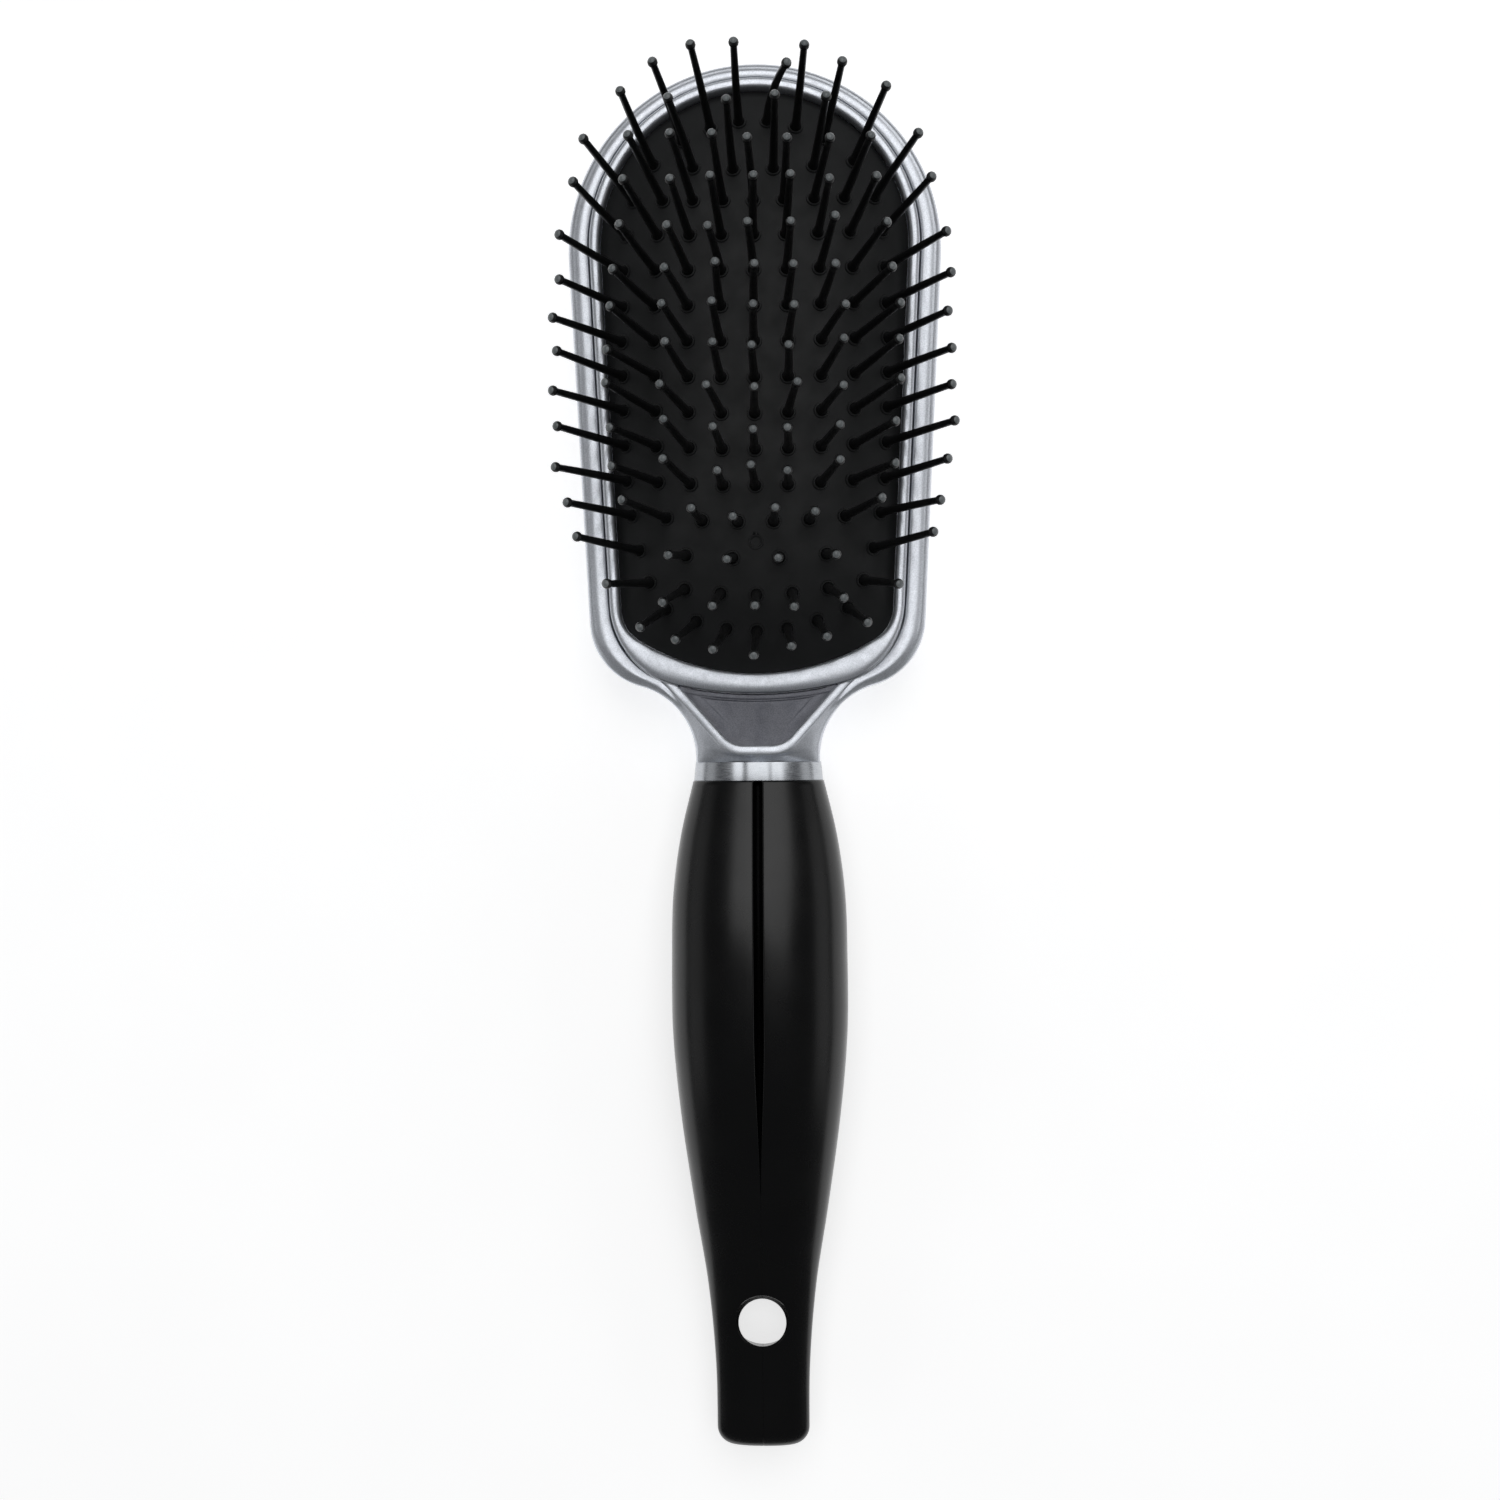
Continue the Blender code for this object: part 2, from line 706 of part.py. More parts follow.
def shell_section(y, side, closing=0.0, steps=12):
    """One half of the handle at y: round the outside, then back along the seam.

    closing goes from 0 to 1 over the rounded end.
    """
    half_width, low, high = handle_size(y)
    half_width -= HANDLE_END_ROUND * closing
    low, high = low + HANDLE_END_DROP * closing, high - HANDLE_END_DROP * closing
    middle, half_height = (low + high) / 2, (high - low) / 2
    start = math.acos((GROOVE_HALF_WIDTH / half_width) ** (HANDLE_SQUARENESS / 2))
    loop = []
    for i in range(steps + 1):
        angle = start * (1 - 2 * i / steps)
        x = half_width * signed_power(math.cos(angle), 2 / HANDLE_SQUARENESS)
        z = half_height * signed_power(math.sin(angle), 2 / HANDLE_SQUARENESS)
        loop.append(Vector((side * x, y, middle + z)))
    seam = side * SEAM_HALF_GAP
    loop.append(Vector((seam, y, low + GROOVE_DEPTH)))
    loop.append(Vector((seam, y, high - GROOVE_DEPTH)))
    return loop


def shell_solid(side):
    round_start = END_Y + HANDLE_END_ROUND
    steps = round((HANDLE_TOP_Y - round_start) / HANDLE_STEP)
    loops = []
    for i in range(steps + 1):
        y = HANDLE_TOP_Y + (round_start - HANDLE_TOP_Y) * i / steps
        loops.append(shell_section(y, side))
    for i in range(1, 5):
        angle = math.pi / 2 * i / 4
        y = round_start - HANDLE_END_ROUND * math.sin(angle)
        loops.append(shell_section(y, side, 1 - math.cos(angle)))
    return loft(loops)


def handle_cavity():
    """The hollow in both shells, open towards the ferrule."""
    loops = []
    steps = round((HANDLE_TOP_Y - CAVITY_END_Y) / HANDLE_STEP)
    for i in range(steps + 1):
        y = HANDLE_TOP_Y + (CAVITY_END_Y - HANDLE_TOP_Y) * i / steps
        half_width, low, high = handle_size(y)
        size = (half_width - HANDLE_WALL, low + HANDLE_WALL, high - HANDLE_WALL)
        loops.append(superellipse(y, *size, HANDLE_SQUARENESS))
    lead = [Vector((p.x, p.y + 0.002, p.z)) for p in loops[0]]
    return loft([lead, *loops])


def hanging_hole():
    _, low, high = handle_size(HOLE_Y)
    front, beyond = FRONT_COUNTERSINK, 0.003
    slope = BACK_FLARE / (high - front - low)
    stations = (
        (low - beyond, HOLE_RADIUS + BACK_FLARE + slope * beyond),
        (high - front, HOLE_RADIUS),
        (high + front, HOLE_RADIUS + 2 * front),
    )
    loops = []
    for z, radius in stations:
        centre = Vector((0.0, HOLE_Y))
        outline = arc(centre, radius, 0.0, 2 * math.pi, 20)[:-1]
        loops.append(flat(outline, z))
    return loft(loops)


def handle_shell(name, side, parent, surface, cavity, hole):
    """The left shell, side -1, has the pegs. The right shell, side 1, has their sockets."""
    shell = add_object(name, shell_solid(side), surface, parent)
    combine(shell, cavity, "DIFFERENCE")
    bosses, pegs = bmesh.new(), bmesh.new()
    for y in PEG_YS:
        wall_x = side * (handle_size(y)[0] - BOSS_INTO_WALL)
        inner = Vector((side * BOSS_INNER_X, y, PEG_Z))
        append(bosses, rod(inner, Vector((wall_x, y, PEG_Z)), BOSS_RADIUS))
        if side < 0:
            root = Vector((-BOSS_INNER_X - 0.002, y, PEG_Z))
            append(pegs, rod(root, Vector((PEG_REACH, y, PEG_Z)), PEG_RADIUS))
        else:
            mouth = Vector((BOSS_INNER_X - 0.001, y, PEG_Z))
            end = Vector((SOCKET_DEPTH_X, y, PEG_Z))
            append(pegs, rod(mouth, end, PEG_RADIUS + GAP))
    combine(shell, add_object(f"{name}_bosses", bosses, parent=shell), "UNION")
    pegs = add_object(f"{name}_pegs", pegs, parent=shell)
    combine(shell, pegs, "UNION" if side < 0 else "DIFFERENCE")
    combine(shell, hole, "DIFFERENCE")
    return shell


# ------------------------------------------------------------- the brush


def main():
    for old in list(bpy.data.objects):
        bpy.data.objects.remove(old)
    silver = material("silver_lacquer", (0.72, 0.74, 0.78), 0.28, 0.85)
    panel_grey = material("panel_grey", (0.16, 0.16, 0.19), 0.35, 0.6)
    bright = material("bright_band", (0.82, 0.84, 0.86), 0.12, 1.0)
    rubber = material("cushion_rubber", (0.012, 0.013, 0.014), 0.6)
    nylon = material("pin_nylon", (0.006, 0.006, 0.007), 0.35)
    black = material("handle_black", (0.010, 0.011, 0.012), 0.3)

    brush = bpy.data.objects.new("paddle_brush", None)
    bpy.context.scene.collection.objects.link(brush)

    pins = [row_pins(row) for row in range(len(PIN_ROWS))]
    paddle_body(brush, silver)
    cushion_bezel(brush, silver)
    neck_panel(brush, panel_grey)
    ferrule(brush, bright)
    air_cushion(brush, rubber, pins)
    for row, row_of_pins in enumerate(pins):
        pin_row(row, row_of_pins, brush, nylon)
    cavity = add_object("handle_cavity", handle_cavity(), parent=brush)
    hole = add_object("hanging_hole", hanging_hole(), parent=brush)
    handle_shell("handle_shell_left", -1, brush, black, cavity, hole)
    handle_shell("handle_shell_right", 1, brush, black, cavity, hole)


main()
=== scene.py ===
"""Looks of the cushioned paddle hair brush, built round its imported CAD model.

Frame: +Y runs from the handle to the tip of the head, +X across the brush, +Z from the back
towards the pins, in metres. The brush lies on its back on a pale floor, and the camera looks
almost straight down on it.
"""

import math
import random

import bmesh
import bpy
from mathutils import Matrix, Vector


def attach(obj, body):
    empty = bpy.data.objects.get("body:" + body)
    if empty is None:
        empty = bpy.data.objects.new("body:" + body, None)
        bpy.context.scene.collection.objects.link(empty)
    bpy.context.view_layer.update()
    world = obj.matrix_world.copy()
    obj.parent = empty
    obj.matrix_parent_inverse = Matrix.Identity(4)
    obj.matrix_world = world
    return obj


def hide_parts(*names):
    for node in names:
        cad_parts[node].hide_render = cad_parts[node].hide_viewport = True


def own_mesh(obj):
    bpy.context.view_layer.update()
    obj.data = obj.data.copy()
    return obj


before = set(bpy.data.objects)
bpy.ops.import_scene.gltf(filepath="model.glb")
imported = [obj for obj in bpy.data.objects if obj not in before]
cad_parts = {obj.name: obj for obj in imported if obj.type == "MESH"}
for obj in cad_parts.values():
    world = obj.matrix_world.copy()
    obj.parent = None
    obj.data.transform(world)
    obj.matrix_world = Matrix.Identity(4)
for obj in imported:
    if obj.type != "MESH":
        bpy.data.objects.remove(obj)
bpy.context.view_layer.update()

TIP_Y = 0.120
END_Y = -0.120
GAP = 0.0003  # between pieces that touch, as in the CAD

# Paddle, seen from above.
TAPER = math.radians(2.9)
CAP_RADIUS = 0.0324
CAP_CENTRE = Vector((0.0, TIP_Y - CAP_RADIUS))
SHOULDER_RADIUS = 0.012
NECK_RADIUS = 0.013
NECK_HALF_WIDTH = 0.01075
NECK_STRAIGHT_Y = -0.0005
NECK_END_Y = -0.0009
NECK_JOIN_Y = -0.00125  # the skin runs on into the ferrule
SHOULDER_SEARCH_Y = (0.015, 0.040)

# Steps along each stretch of the paddle's and the opening's outlines.
CAP_STEPS, SIDE_STEPS, CORNER_STEPS, NECK_STEPS = 48, 30, 22, 30

# Paddle, seen from the side: the head's values, then the neck's.
RIM_Z = 0.0120
RIM_CROWN = 0.00018
SHOULDER_CROWN = 0.0003
RIM_ROUND = 0.0012
NECK_SLANT = 0.5  # how much of the neck's flank rises straight, not round
SIDE_TOP_Z = (0.0108, 0.0113)
BACK_ROUND_WIDTH = (0.0045, 0.0065)
BACK_ROUND_HEIGHT = (0.0050, 0.0060)
NECK_UNDER_Z = 0.0013
UNDER_RISE_Y = 0.014  # where the back starts to rise towards the neck's end
NECK_START_Y = 0.022  # where the head's values start to turn into the neck's
NECK_FULL_Y = 0.006
FLANK_TURN = 1.35  # radians over which the points of the neck's flank are spread
FLANK_POWER = 4
BAND_STEPS = (9, 8)  # round the rim, and across the flat beside it
BACK_STEPS = 10
EDGE_ROUND = 0.00035
EDGE_FADE = (-4, 6)  # points beside the corner's end over which that rounding fades
EDGE_MIDDLE = 0.3  # of an edge's rounding, where its middle point lies
POCKET_Z = 0.0074  # below the pins' feet when they are pressed all the way
SEAT_GROW = 0.0003

# Ridge from the bezel down both sides of the neck, straight and then round to its foot.
RIDGE_FOOT_Y = -0.0001
RIDGE_FOOT_HALF_WIDTH = 0.00515
RIDGE_TOP_HALF_WIDTH = 0.0166
RIDGE_FOOT_RADIUS = 0.0064
RIDGE_WIDTH = 0.0017
CREST_HEIGHT = 0.00017
CREST_DROP = 0.0002
CREST_SET = 0.00002  # of the crest's outer edge, below the ridge
CREST_STEPS = 12
RIDGE_RISE_Y = 0.0096
RIDGE_SLOPE = 0.34
RIDGE_SOFT = 0.0004  # how gently the ridge leaves the rim's height
RIDGE_STEPS = (60, 30, 20)  # down the straight, round the foot and on to the middle
SEAT_PIECES = 8  # that each step of the bezel's seat is divided into
RUN_IN = 9  # last points of the band's inner edge, spread along the ridge
RUN_IN_POWER = 1.15
NECK_END_TOP_Z = 0.0146

# Opening for the cushion, and the bezel round it.
OPENING_RADIUS = 0.0269
OPENING_CENTRE = Vector((0.0, 0.0884))
OPENING_FOOT_Y = 0.0140
FOOT_RADIUS = 0.039
CORNER_RADIUS = 0.0065
CORNER_SEARCH_Y = (0.050, 0.015)
BEZEL_GROW = 0.0017
BEZEL_CORNER_RADIUS = 0.0147
BEZEL_FOOT_Y = 0.0107
BEZEL_FOOT_RADIUS = 0.064
BEZEL_TOP_Z = 0.0130
BEZEL_BOTTOM_Z = 0.0105
BEZEL_CROWN = 0.0008
BEZEL_STEPS = 12

# Neck panel.
PANEL_FOOT_Y = 0.0009
PANEL_FOOT_HALF_WIDTH = 0.0049
PANEL_TOP_HALF_WIDTH = 0.0150
PANEL_FOOT_RADIUS = 0.0055
PANEL_TOP_RADIUS = 0.0006
PANEL_RECESS = 0.0005
PANEL_DEPTH = 0.0016
PANEL_GAP = 0.0002
PANEL_EDGE = 0.0002
PANEL_CORNER_STEPS = 10
PANEL_TOP_STEPS = 24
PANEL_RINGS = 30
PANEL_MIDDLE = Vector((0.0, 0.0075))
PANEL_BEAD = (0.0013, 0.00022, 0.00014)  # place below the bezel, half width, height

# Cushion.
CUSHION_GROW = -0.0002
FLANGE_Z = 0.0095
DOME_EDGE_Z = 0.0112
DOME_HEIGHT = 0.0058
DOME_POWER = 2.9
DOME_CENTRE = Vector((0.0, (OPENING_FOOT_Y + OPENING_CENTRE.y + OPENING_RADIUS) / 2))
DOME_RINGS = 44
RING_SPACING = 0.8  # power that spreads the rings
MIDDLE_RING = 0.012  # the smallest ring's size, as a share of the edge's
VENT_Y = 0.0362
VENT_RADIUS = 0.0008
VENT_LIP = (0.0006, 0.00022)  # width and height
VENT_DRILL = (-0.004, 0.0001)  # from below the skin to above it
PIN_HOLE_RADIUS = 0.00085
COLLAR_RADIUS = 0.00145
COLLAR_HEIGHT = 0.00028
COLLAR_ROOT = 0.00012  # of its outer edge, below the skin
COLLAR_FLANK = 0.00018
COLLAR_FLAT = (0.00008, 0.00012)  # of its top, outwards and inwards of the lip's middle
COLLAR_DEPTH = 0.0009  # of the hole's wall
COLLAR_SIDES = 20

# Pins.
PIN_LENGTH = 0.0205
PIN_SINK = 0.0021
PIN_ROOT_RADIUS = 0.00098
PIN_SHAFT_RADIUS = 0.00074
PIN_NECK_RADIUS = 0.00056
PIN_BALL_RADIUS = 0.00084
PIN_FLARE = (0.0006, 0.55)  # a height, and how much of the root's flare is left there
PIN_FLARE_TOP = 0.0016
PIN_SIDES = 14
PIN_STEPS = 9
PIN_LEAN = 0.0007  # of a tip, at most, along each axis
LEAN_POWER = 1.6
# The cap of the ball that takes the lighter grey, a painted highlight of the lamp above.
HIGHLIGHT_CAP = math.radians(44)  # of the ball, from its top
TIP_FLAT = 0.06  # radians round the top that stay flat
BALL_STEPS = (6, 5)  # below the cap, and over it
FIRST_ROW_Y = 0.0213
ROW_PITCH = 0.0061
# Each row from the handle to the tip: number of pins, half the row's width, and how much it
# arches, as y = row + arch * x * x.
PIN_ROWS = (
    (7, 0.0156, 16.0),
    (7, 0.0184, 7.0),
    (6, 0.0200, 4.5),
    (8, 0.0213, 4.0),
    (9, 0.0221, 3.5),
    (9, 0.0224, 3.5),
    (9, 0.0226, 3.3),
    (9, 0.0227, 3.0),
    (9, 0.0228, 2.5),
    (9, 0.0226, 2.2),
    (9, 0.0224, 2.2),
    (9, 0.0219, 2.5),
    (9, 0.0207, 2.5),
    (6, 0.0172, 6.0),
    (6, 0.0122, -22.0),
)
ROW_SHIFTS = {13: -0.0005, 14: 0.0025}
BENT_PIN = (14, 3)  # one pin of the last row has been bent sideways and back
BENT_PIN_LEAN = Vector((0.0030, -0.0052, 0.0))

# Ferrule: half width, lowest and highest z at its top, at its end and inside.
FERRULE_TOP_Y = NECK_END_Y - GAP
FERRULE_END_Y = -0.0042
FERRULE_TOP = (0.0110, 0.0010, 0.0157)
FERRULE_END = (0.0113, 0.0008, 0.0160)
FERRULE_INNER = (0.0096, 0.0021, 0.0145)
FERRULE_EDGE = 0.00014
FERRULE_EDGE_STEPS = 5
FERRULE_SQUARENESS = 2.4
FERRULE_SIDES = 336
FERRULE_FLUTE = (0.0027, 0.00085, 0.00014)  # place beside the middle, half width, depth

# Handle. Each station has y, half width, lowest and highest z.
HANDLE_TOP_Y = FERRULE_END_Y - 0.0002
FERRULE_JOIN_Y = HANDLE_TOP_Y - 0.0001  # the ferrule runs on into the handle
HANDLE_STATIONS = (
    (HANDLE_TOP_Y, 0.0114, 0.0011, 0.0166),
    (-0.0140, 0.0136, 0.0005, 0.0192),
    (-0.0240, 0.0149, 0.0001, 0.0213),
    (-0.0350, 0.0152, 0.0000, 0.0220),
    (-0.0480, 0.0151, 0.0002, 0.0217),
    (-0.0620, 0.01385, 0.0009, 0.0203),
    (-0.0780, 0.0116, 0.0030, 0.0174),
    (-0.0920, 0.0094, 0.0052, 0.0143),
    (-0.1060, 0.0082, 0.0063, 0.0126),
    (END_Y, 0.0080, 0.0064, 0.0121),
)
HANDLE_SQUARENESS = 2.3
HANDLE_END_ROUND = 0.0031
HANDLE_END_DROP = 0.0019
HANDLE_STEP = 0.0009
HANDLE_EDGE = 0.0003  # rounding beside the ferrule
HANDLE_EDGE_STEPS = 3
HANDLE_END_STEPS = 12
HANDLE_SIDE_STEPS = 44
# Groove over the seam: half width, depth and lip where it is full, and of the seam line that
# it runs out into.
GROOVE = (0.00074, 0.0024, 0.00032)
SEAM = (0.00004, 0.00008, 0.00007)
GROOVE_FADE_Y = (-0.046, -0.076)
GROOVE_FLOOR = (0.3, 0.9)  # of the groove's half width and depth, at its floor's edge
GROOVE_STEPS = 4
SEAM_OVERLAP = 0.00005  # by which each cover passes the middle, so that the seam is shut

# Hanging hole.
HOLE_Y = -0.0978
HOLE_RADIUS = 0.0041
FRONT_COUNTERSINK = 0.0007
BACK_FLARE = 0.0022  # of the bore, from the front to the back
BACK_LIP = 0.0005
HOLE_BEYOND = 0.004  # how far the drill passes both faces
HOLE_SIDES = 64
HOLE_STEPS = 8

# Floor.
FLOOR_RADIUS = 8.0
FLOOR_Z = -0.0001
FLOOR_SIDES = 96
FLOOR_GLOW = 0.62

# Angles in degrees above which an edge isn't shaded smooth.
SHARP_ANGLE = 40
PIN_SHARP_ANGLE = 60

# Parts of a noise's range that a roughness and a colour are spread over.
ROUGHNESS_SPAN = (0.3, 0.7)
COLOUR_SPAN = (0.35, 0.65)

# Camera, in metres and degrees.
CAMERA_PLACE = Vector((0.0056, -0.0001, 0.2611))
CAMERA_TURN = (0.198, 1.607, -0.45)
CAMERA_LENS = 34.6


# ------------------------------------------------------------ outlines in XY


def arc(centre, radius, start, end, steps):
    """Points on an arc, both ends included, with the angles in radians."""
    angles = [start + (end - start) * i / steps for i in range(steps + 1)]
    return [centre + radius * Vector((math.cos(a), math.sin(a))) for a in angles]


def circle(centre, radius, sides):
    return arc(centre, radius, 0.0, 2 * math.pi, sides)[:-1]


def quarter_turn(steps):
    """The cosine and sine at each step of a quarter turn, both ends included."""
    angles = [math.pi / 2 * i / steps for i in range(steps + 1)]
    return [(math.cos(a), math.sin(a)) for a in angles]


def between(a, b, pieces):
    """The points that divide the way from a to b, without its ends."""
    return [a.lerp(b, i / pieces) for i in range(1, pieces)]


def mirrored(half):
    """The whole outline from its +X half, which starts and ends at x = 0."""
    return half + [Vector((-p.x, p.y)) for p in reversed(half[1:-1])]


def centre_beside_side(cap_centre, cap_radius, radius, y):
    """Centre at height y of a circle of this radius that touches the tapering side."""
    normal = Vector((math.cos(TAPER), -math.sin(TAPER)))
    reach = normal.dot(cap_centre) + cap_radius - radius
    return Vector(((reach - normal.y * y) / normal.x, y))


def solve_y(error, low, high):
    """The height between low and high at which error changes sign, by bisection."""
    rising = error(high) > 0
    for _ in range(50):
        middle = (low + high) / 2
        if (error(middle) > 0) == rising:
            high = middle
        else:
            low = middle
    return (low + high) / 2


def angle_of(vector):
    return math.atan2(vector.y, vector.x)


def smooth_share(value, start, end):
    """0 at start, 1 at end, and smooth between them."""
    t = min(max((value - start) / (end - start), 0.0), 1.0)
    return t * t * (3 - 2 * t)


def mix(pair, share):
    return pair[0] + (pair[1] - pair[0]) * share


def paddle_half():
    """The paddle's outline on the +X side, from the tip to the end of the neck."""
    neck_centre = Vector((NECK_HALF_WIDTH + NECK_RADIUS, NECK_STRAIGHT_Y))
    reach = SHOULDER_RADIUS + NECK_RADIUS

    def shoulder(y):
        return centre_beside_side(CAP_CENTRE, CAP_RADIUS, SHOULDER_RADIUS, y)

    def error(y):
        return (shoulder(y) - neck_centre).length - reach

    centre = shoulder(solve_y(error, *SHOULDER_SEARCH_Y))
    turn = angle_of(neck_centre - centre)
    cap = arc(CAP_CENTRE, CAP_RADIUS, math.pi / 2, -TAPER, CAP_STEPS)
    corner = arc(centre, SHOULDER_RADIUS, -TAPER, turn, CORNER_STEPS)
    neck = arc(neck_centre, NECK_RADIUS, turn + math.pi, math.pi, NECK_STEPS)
    end = Vector((NECK_HALF_WIDTH, NECK_JOIN_Y))
    return cap + between(cap[-1], corner[0], SIDE_STEPS) + corner + neck[1:] + [end]


def tapered_half(cap_radius, corner_radius, foot_y, foot_radius, grow):
    """+X half of a round cap, tapering side, rounded corner and shallow foot."""
    foot_centre = Vector((0.0, foot_y + foot_radius))
    reach = foot_radius - corner_radius

    def corner_centre(y):
        return centre_beside_side(OPENING_CENTRE, cap_radius, corner_radius, y)

    def error(y):
        return (corner_centre(y) - foot_centre).length - reach

    centre = corner_centre(solve_y(error, *CORNER_SEARCH_Y))
    turn = angle_of(centre - foot_centre)
    cap = arc(OPENING_CENTRE, cap_radius + grow, math.pi / 2, -TAPER, CAP_STEPS)
    corner = arc(centre, corner_radius + grow, -TAPER, turn, CORNER_STEPS)
    foot = arc(foot_centre, foot_radius + grow, turn, -math.pi / 2, NECK_STEPS)
    return cap + between(cap[-1], corner[0], SIDE_STEPS) + corner + foot[1:]


def opening_outline(grow):
    """Outline of the cushion's opening, grown outwards by grow."""
    shape = (OPENING_RADIUS, CORNER_RADIUS, OPENING_FOOT_Y, FOOT_RADIUS)
    return mirrored(tapered_half(*shape, grow))


def bezel_half(grow):
    """+X half of the bezel's outline, grown outwards by grow."""
    cap_radius = OPENING_RADIUS + BEZEL_GROW
    shape = (cap_radius, BEZEL_CORNER_RADIUS, BEZEL_FOOT_Y, BEZEL_FOOT_RADIUS)
    return tapered_half(*shape, grow)


def bezel_seat():
    """+X half of the bezel's seat, and where the neck's ridge leaves it."""
    seat = bezel_half(SEAT_GROW)
    sides = range(CAP_STEPS + SIDE_STEPS, len(seat))
    return seat, next(i for i in sides if seat[i].x < RIDGE_TOP_HALF_WIDTH)


def line_y(line, x):
    """Height in Y of a line that runs towards the middle, at the distance x from it."""
    for a, b in zip(line, line[1:]):
        if b.x <= x <= a.x:
            return mix((b.y, a.y), (x - b.x) / max(a.x - b.x, 1e-9))
    return line[0].y


def rounded_corner(before, corner, after, radius, steps):
    """Points on the arc that rounds a corner between its two neighbours."""
    back, ahead = (before - corner).normalized(), (after - corner).normalized()
    half_angle = back.angle(ahead) / 2
    centre = corner + (back + ahead).normalized() * radius / math.sin(half_angle)
    along = radius / math.tan(half_angle)
    start = angle_of(corner + back * along - centre)
    sweep = angle_of(corner + ahead * along - centre) - start
    sweep = (sweep + math.pi) % (2 * math.pi) - math.pi
    return arc(centre, radius, start, start + sweep, steps)


def ridge_line():
    """The crest from the bezel's corner to the middle of the neck's foot."""
    seat, ridge_start = bezel_seat()
    straight_steps, foot_steps, middle_steps = RIDGE_STEPS
    start, end = seat[ridge_start], Vector((0.0, RIDGE_FOOT_Y))
    foot = Vector((RIDGE_FOOT_HALF_WIDTH, RIDGE_FOOT_Y))
    round_foot = rounded_corner(start, foot, end, RIDGE_FOOT_RADIUS, foot_steps)
    line = [start, *between(start, round_foot[0], straight_steps), *round_foot]
    return line + between(line[-1], end, middle_steps) + [end]


def ridge_half(outer):
    """The line where the paddle's outer band ends: the bezel, then the neck's ridge, with
    one point for each point of the outline."""
    seat, ridge_start = bezel_seat()
    matched = CAP_STEPS + SIDE_STEPS
    corner = []
    for a, b in zip(seat[matched:ridge_start], seat[matched + 1 : ridge_start + 1]):
        corner += [a, *between(a, b, SEAT_PIECES)]
    path = corner + ridge_line()
    inner = seat[:matched]
    place = 0
    for point in outer[matched:-1]:
        while (
            place < len(path) - 1
            and (path[place + 1] - point).length < (path[place] - point).length
        ):
            place += 1
        inner.append(path[place])
    first = path.index(inner[-RUN_IN])
    for i in range(1, RUN_IN):
        share = (i / (RUN_IN - 1)) ** RUN_IN_POWER
        inner[i - RUN_IN] = path[round(first + (len(path) - 1 - first) * share)]
    return inner + [Vector((0.0, NECK_JOIN_Y))]


def rounded_polygon(corners, radii, steps):
    """A convex polygon whose corners are arcs."""
    points = []
    for i, (corner, radius) in enumerate(zip(corners, radii)):
        after = corners[(i + 1) % len(corners)]
        points += rounded_corner(corners[i - 1], corner, after, radius, steps)
    return points


def panel_outline(grow):
    """Outline of the neck panel. Its upper edge is the bezel's foot."""
    centre = Vector((0.0, BEZEL_FOOT_Y + BEZEL_FOOT_RADIUS))
    seat = BEZEL_FOOT_RADIUS - grow
    half_width = PANEL_TOP_HALF_WIDTH + grow
    foot = PANEL_FOOT_HALF_WIDTH + grow
    top_y = centre.y - math.sqrt(seat**2 - half_width**2)
    foot_y = PANEL_FOOT_Y - grow
    corners = [
        Vector((-half_width, top_y)),
        Vector((-foot, foot_y)),
        Vector((foot, foot_y)),
        Vector((half_width, top_y)),
    ]
    radii = [PANEL_TOP_RADIUS, PANEL_FOOT_RADIUS, PANEL_FOOT_RADIUS, PANEL_TOP_RADIUS]
    points = rounded_polygon(corners, radii, PANEL_CORNER_STEPS)
    edge = angle_of(points[-1] - centre)
    upper = arc(centre, seat, edge, -math.pi - edge, PANEL_TOP_STEPS)
    return points + upper[1:-1]


def cast(outline, centre, direction):
    """Where the ray from centre leaves the closed outline."""
    for a, b in zip(outline, outline[1:] + outline[:1]):
        a, b = a - centre, b - centre
        side = b - a
        turn = direction.x * side.y - direction.y * side.x
        if abs(turn) < 1e-15:
            continue
        reach = (a.x * side.y - a.y * side.x) / turn
        place = (a.x * direction.y - a.y * direction.x) / turn
        if reach > 0 and -1e-7 <= place <= 1 + 1e-7:
            return centre + direction * reach
    raise ValueError("the ray leaves the outline nowhere")


# ------------------------------------------------------------------ meshes


def lifted(outline, z):
    """The outline at one height, or at the height that the function z gives."""
    return [Vector((p.x, p.y, z(p) if callable(z) else z)) for p in outline]


def strip_faces(rows, columns, start, wrap_columns, wrap_rows):
    faces = []
    for r in range(rows if wrap_rows else rows - 1):
        for c in range(columns if wrap_columns else columns - 1):
            low, high = r * columns, (r + 1) % rows * columns
            a, b = start + low + c, start + low + (c + 1) % columns
            d, e = start + high + c, start + high + (c + 1) % columns
            faces.append((a, b, e, d))
    return faces


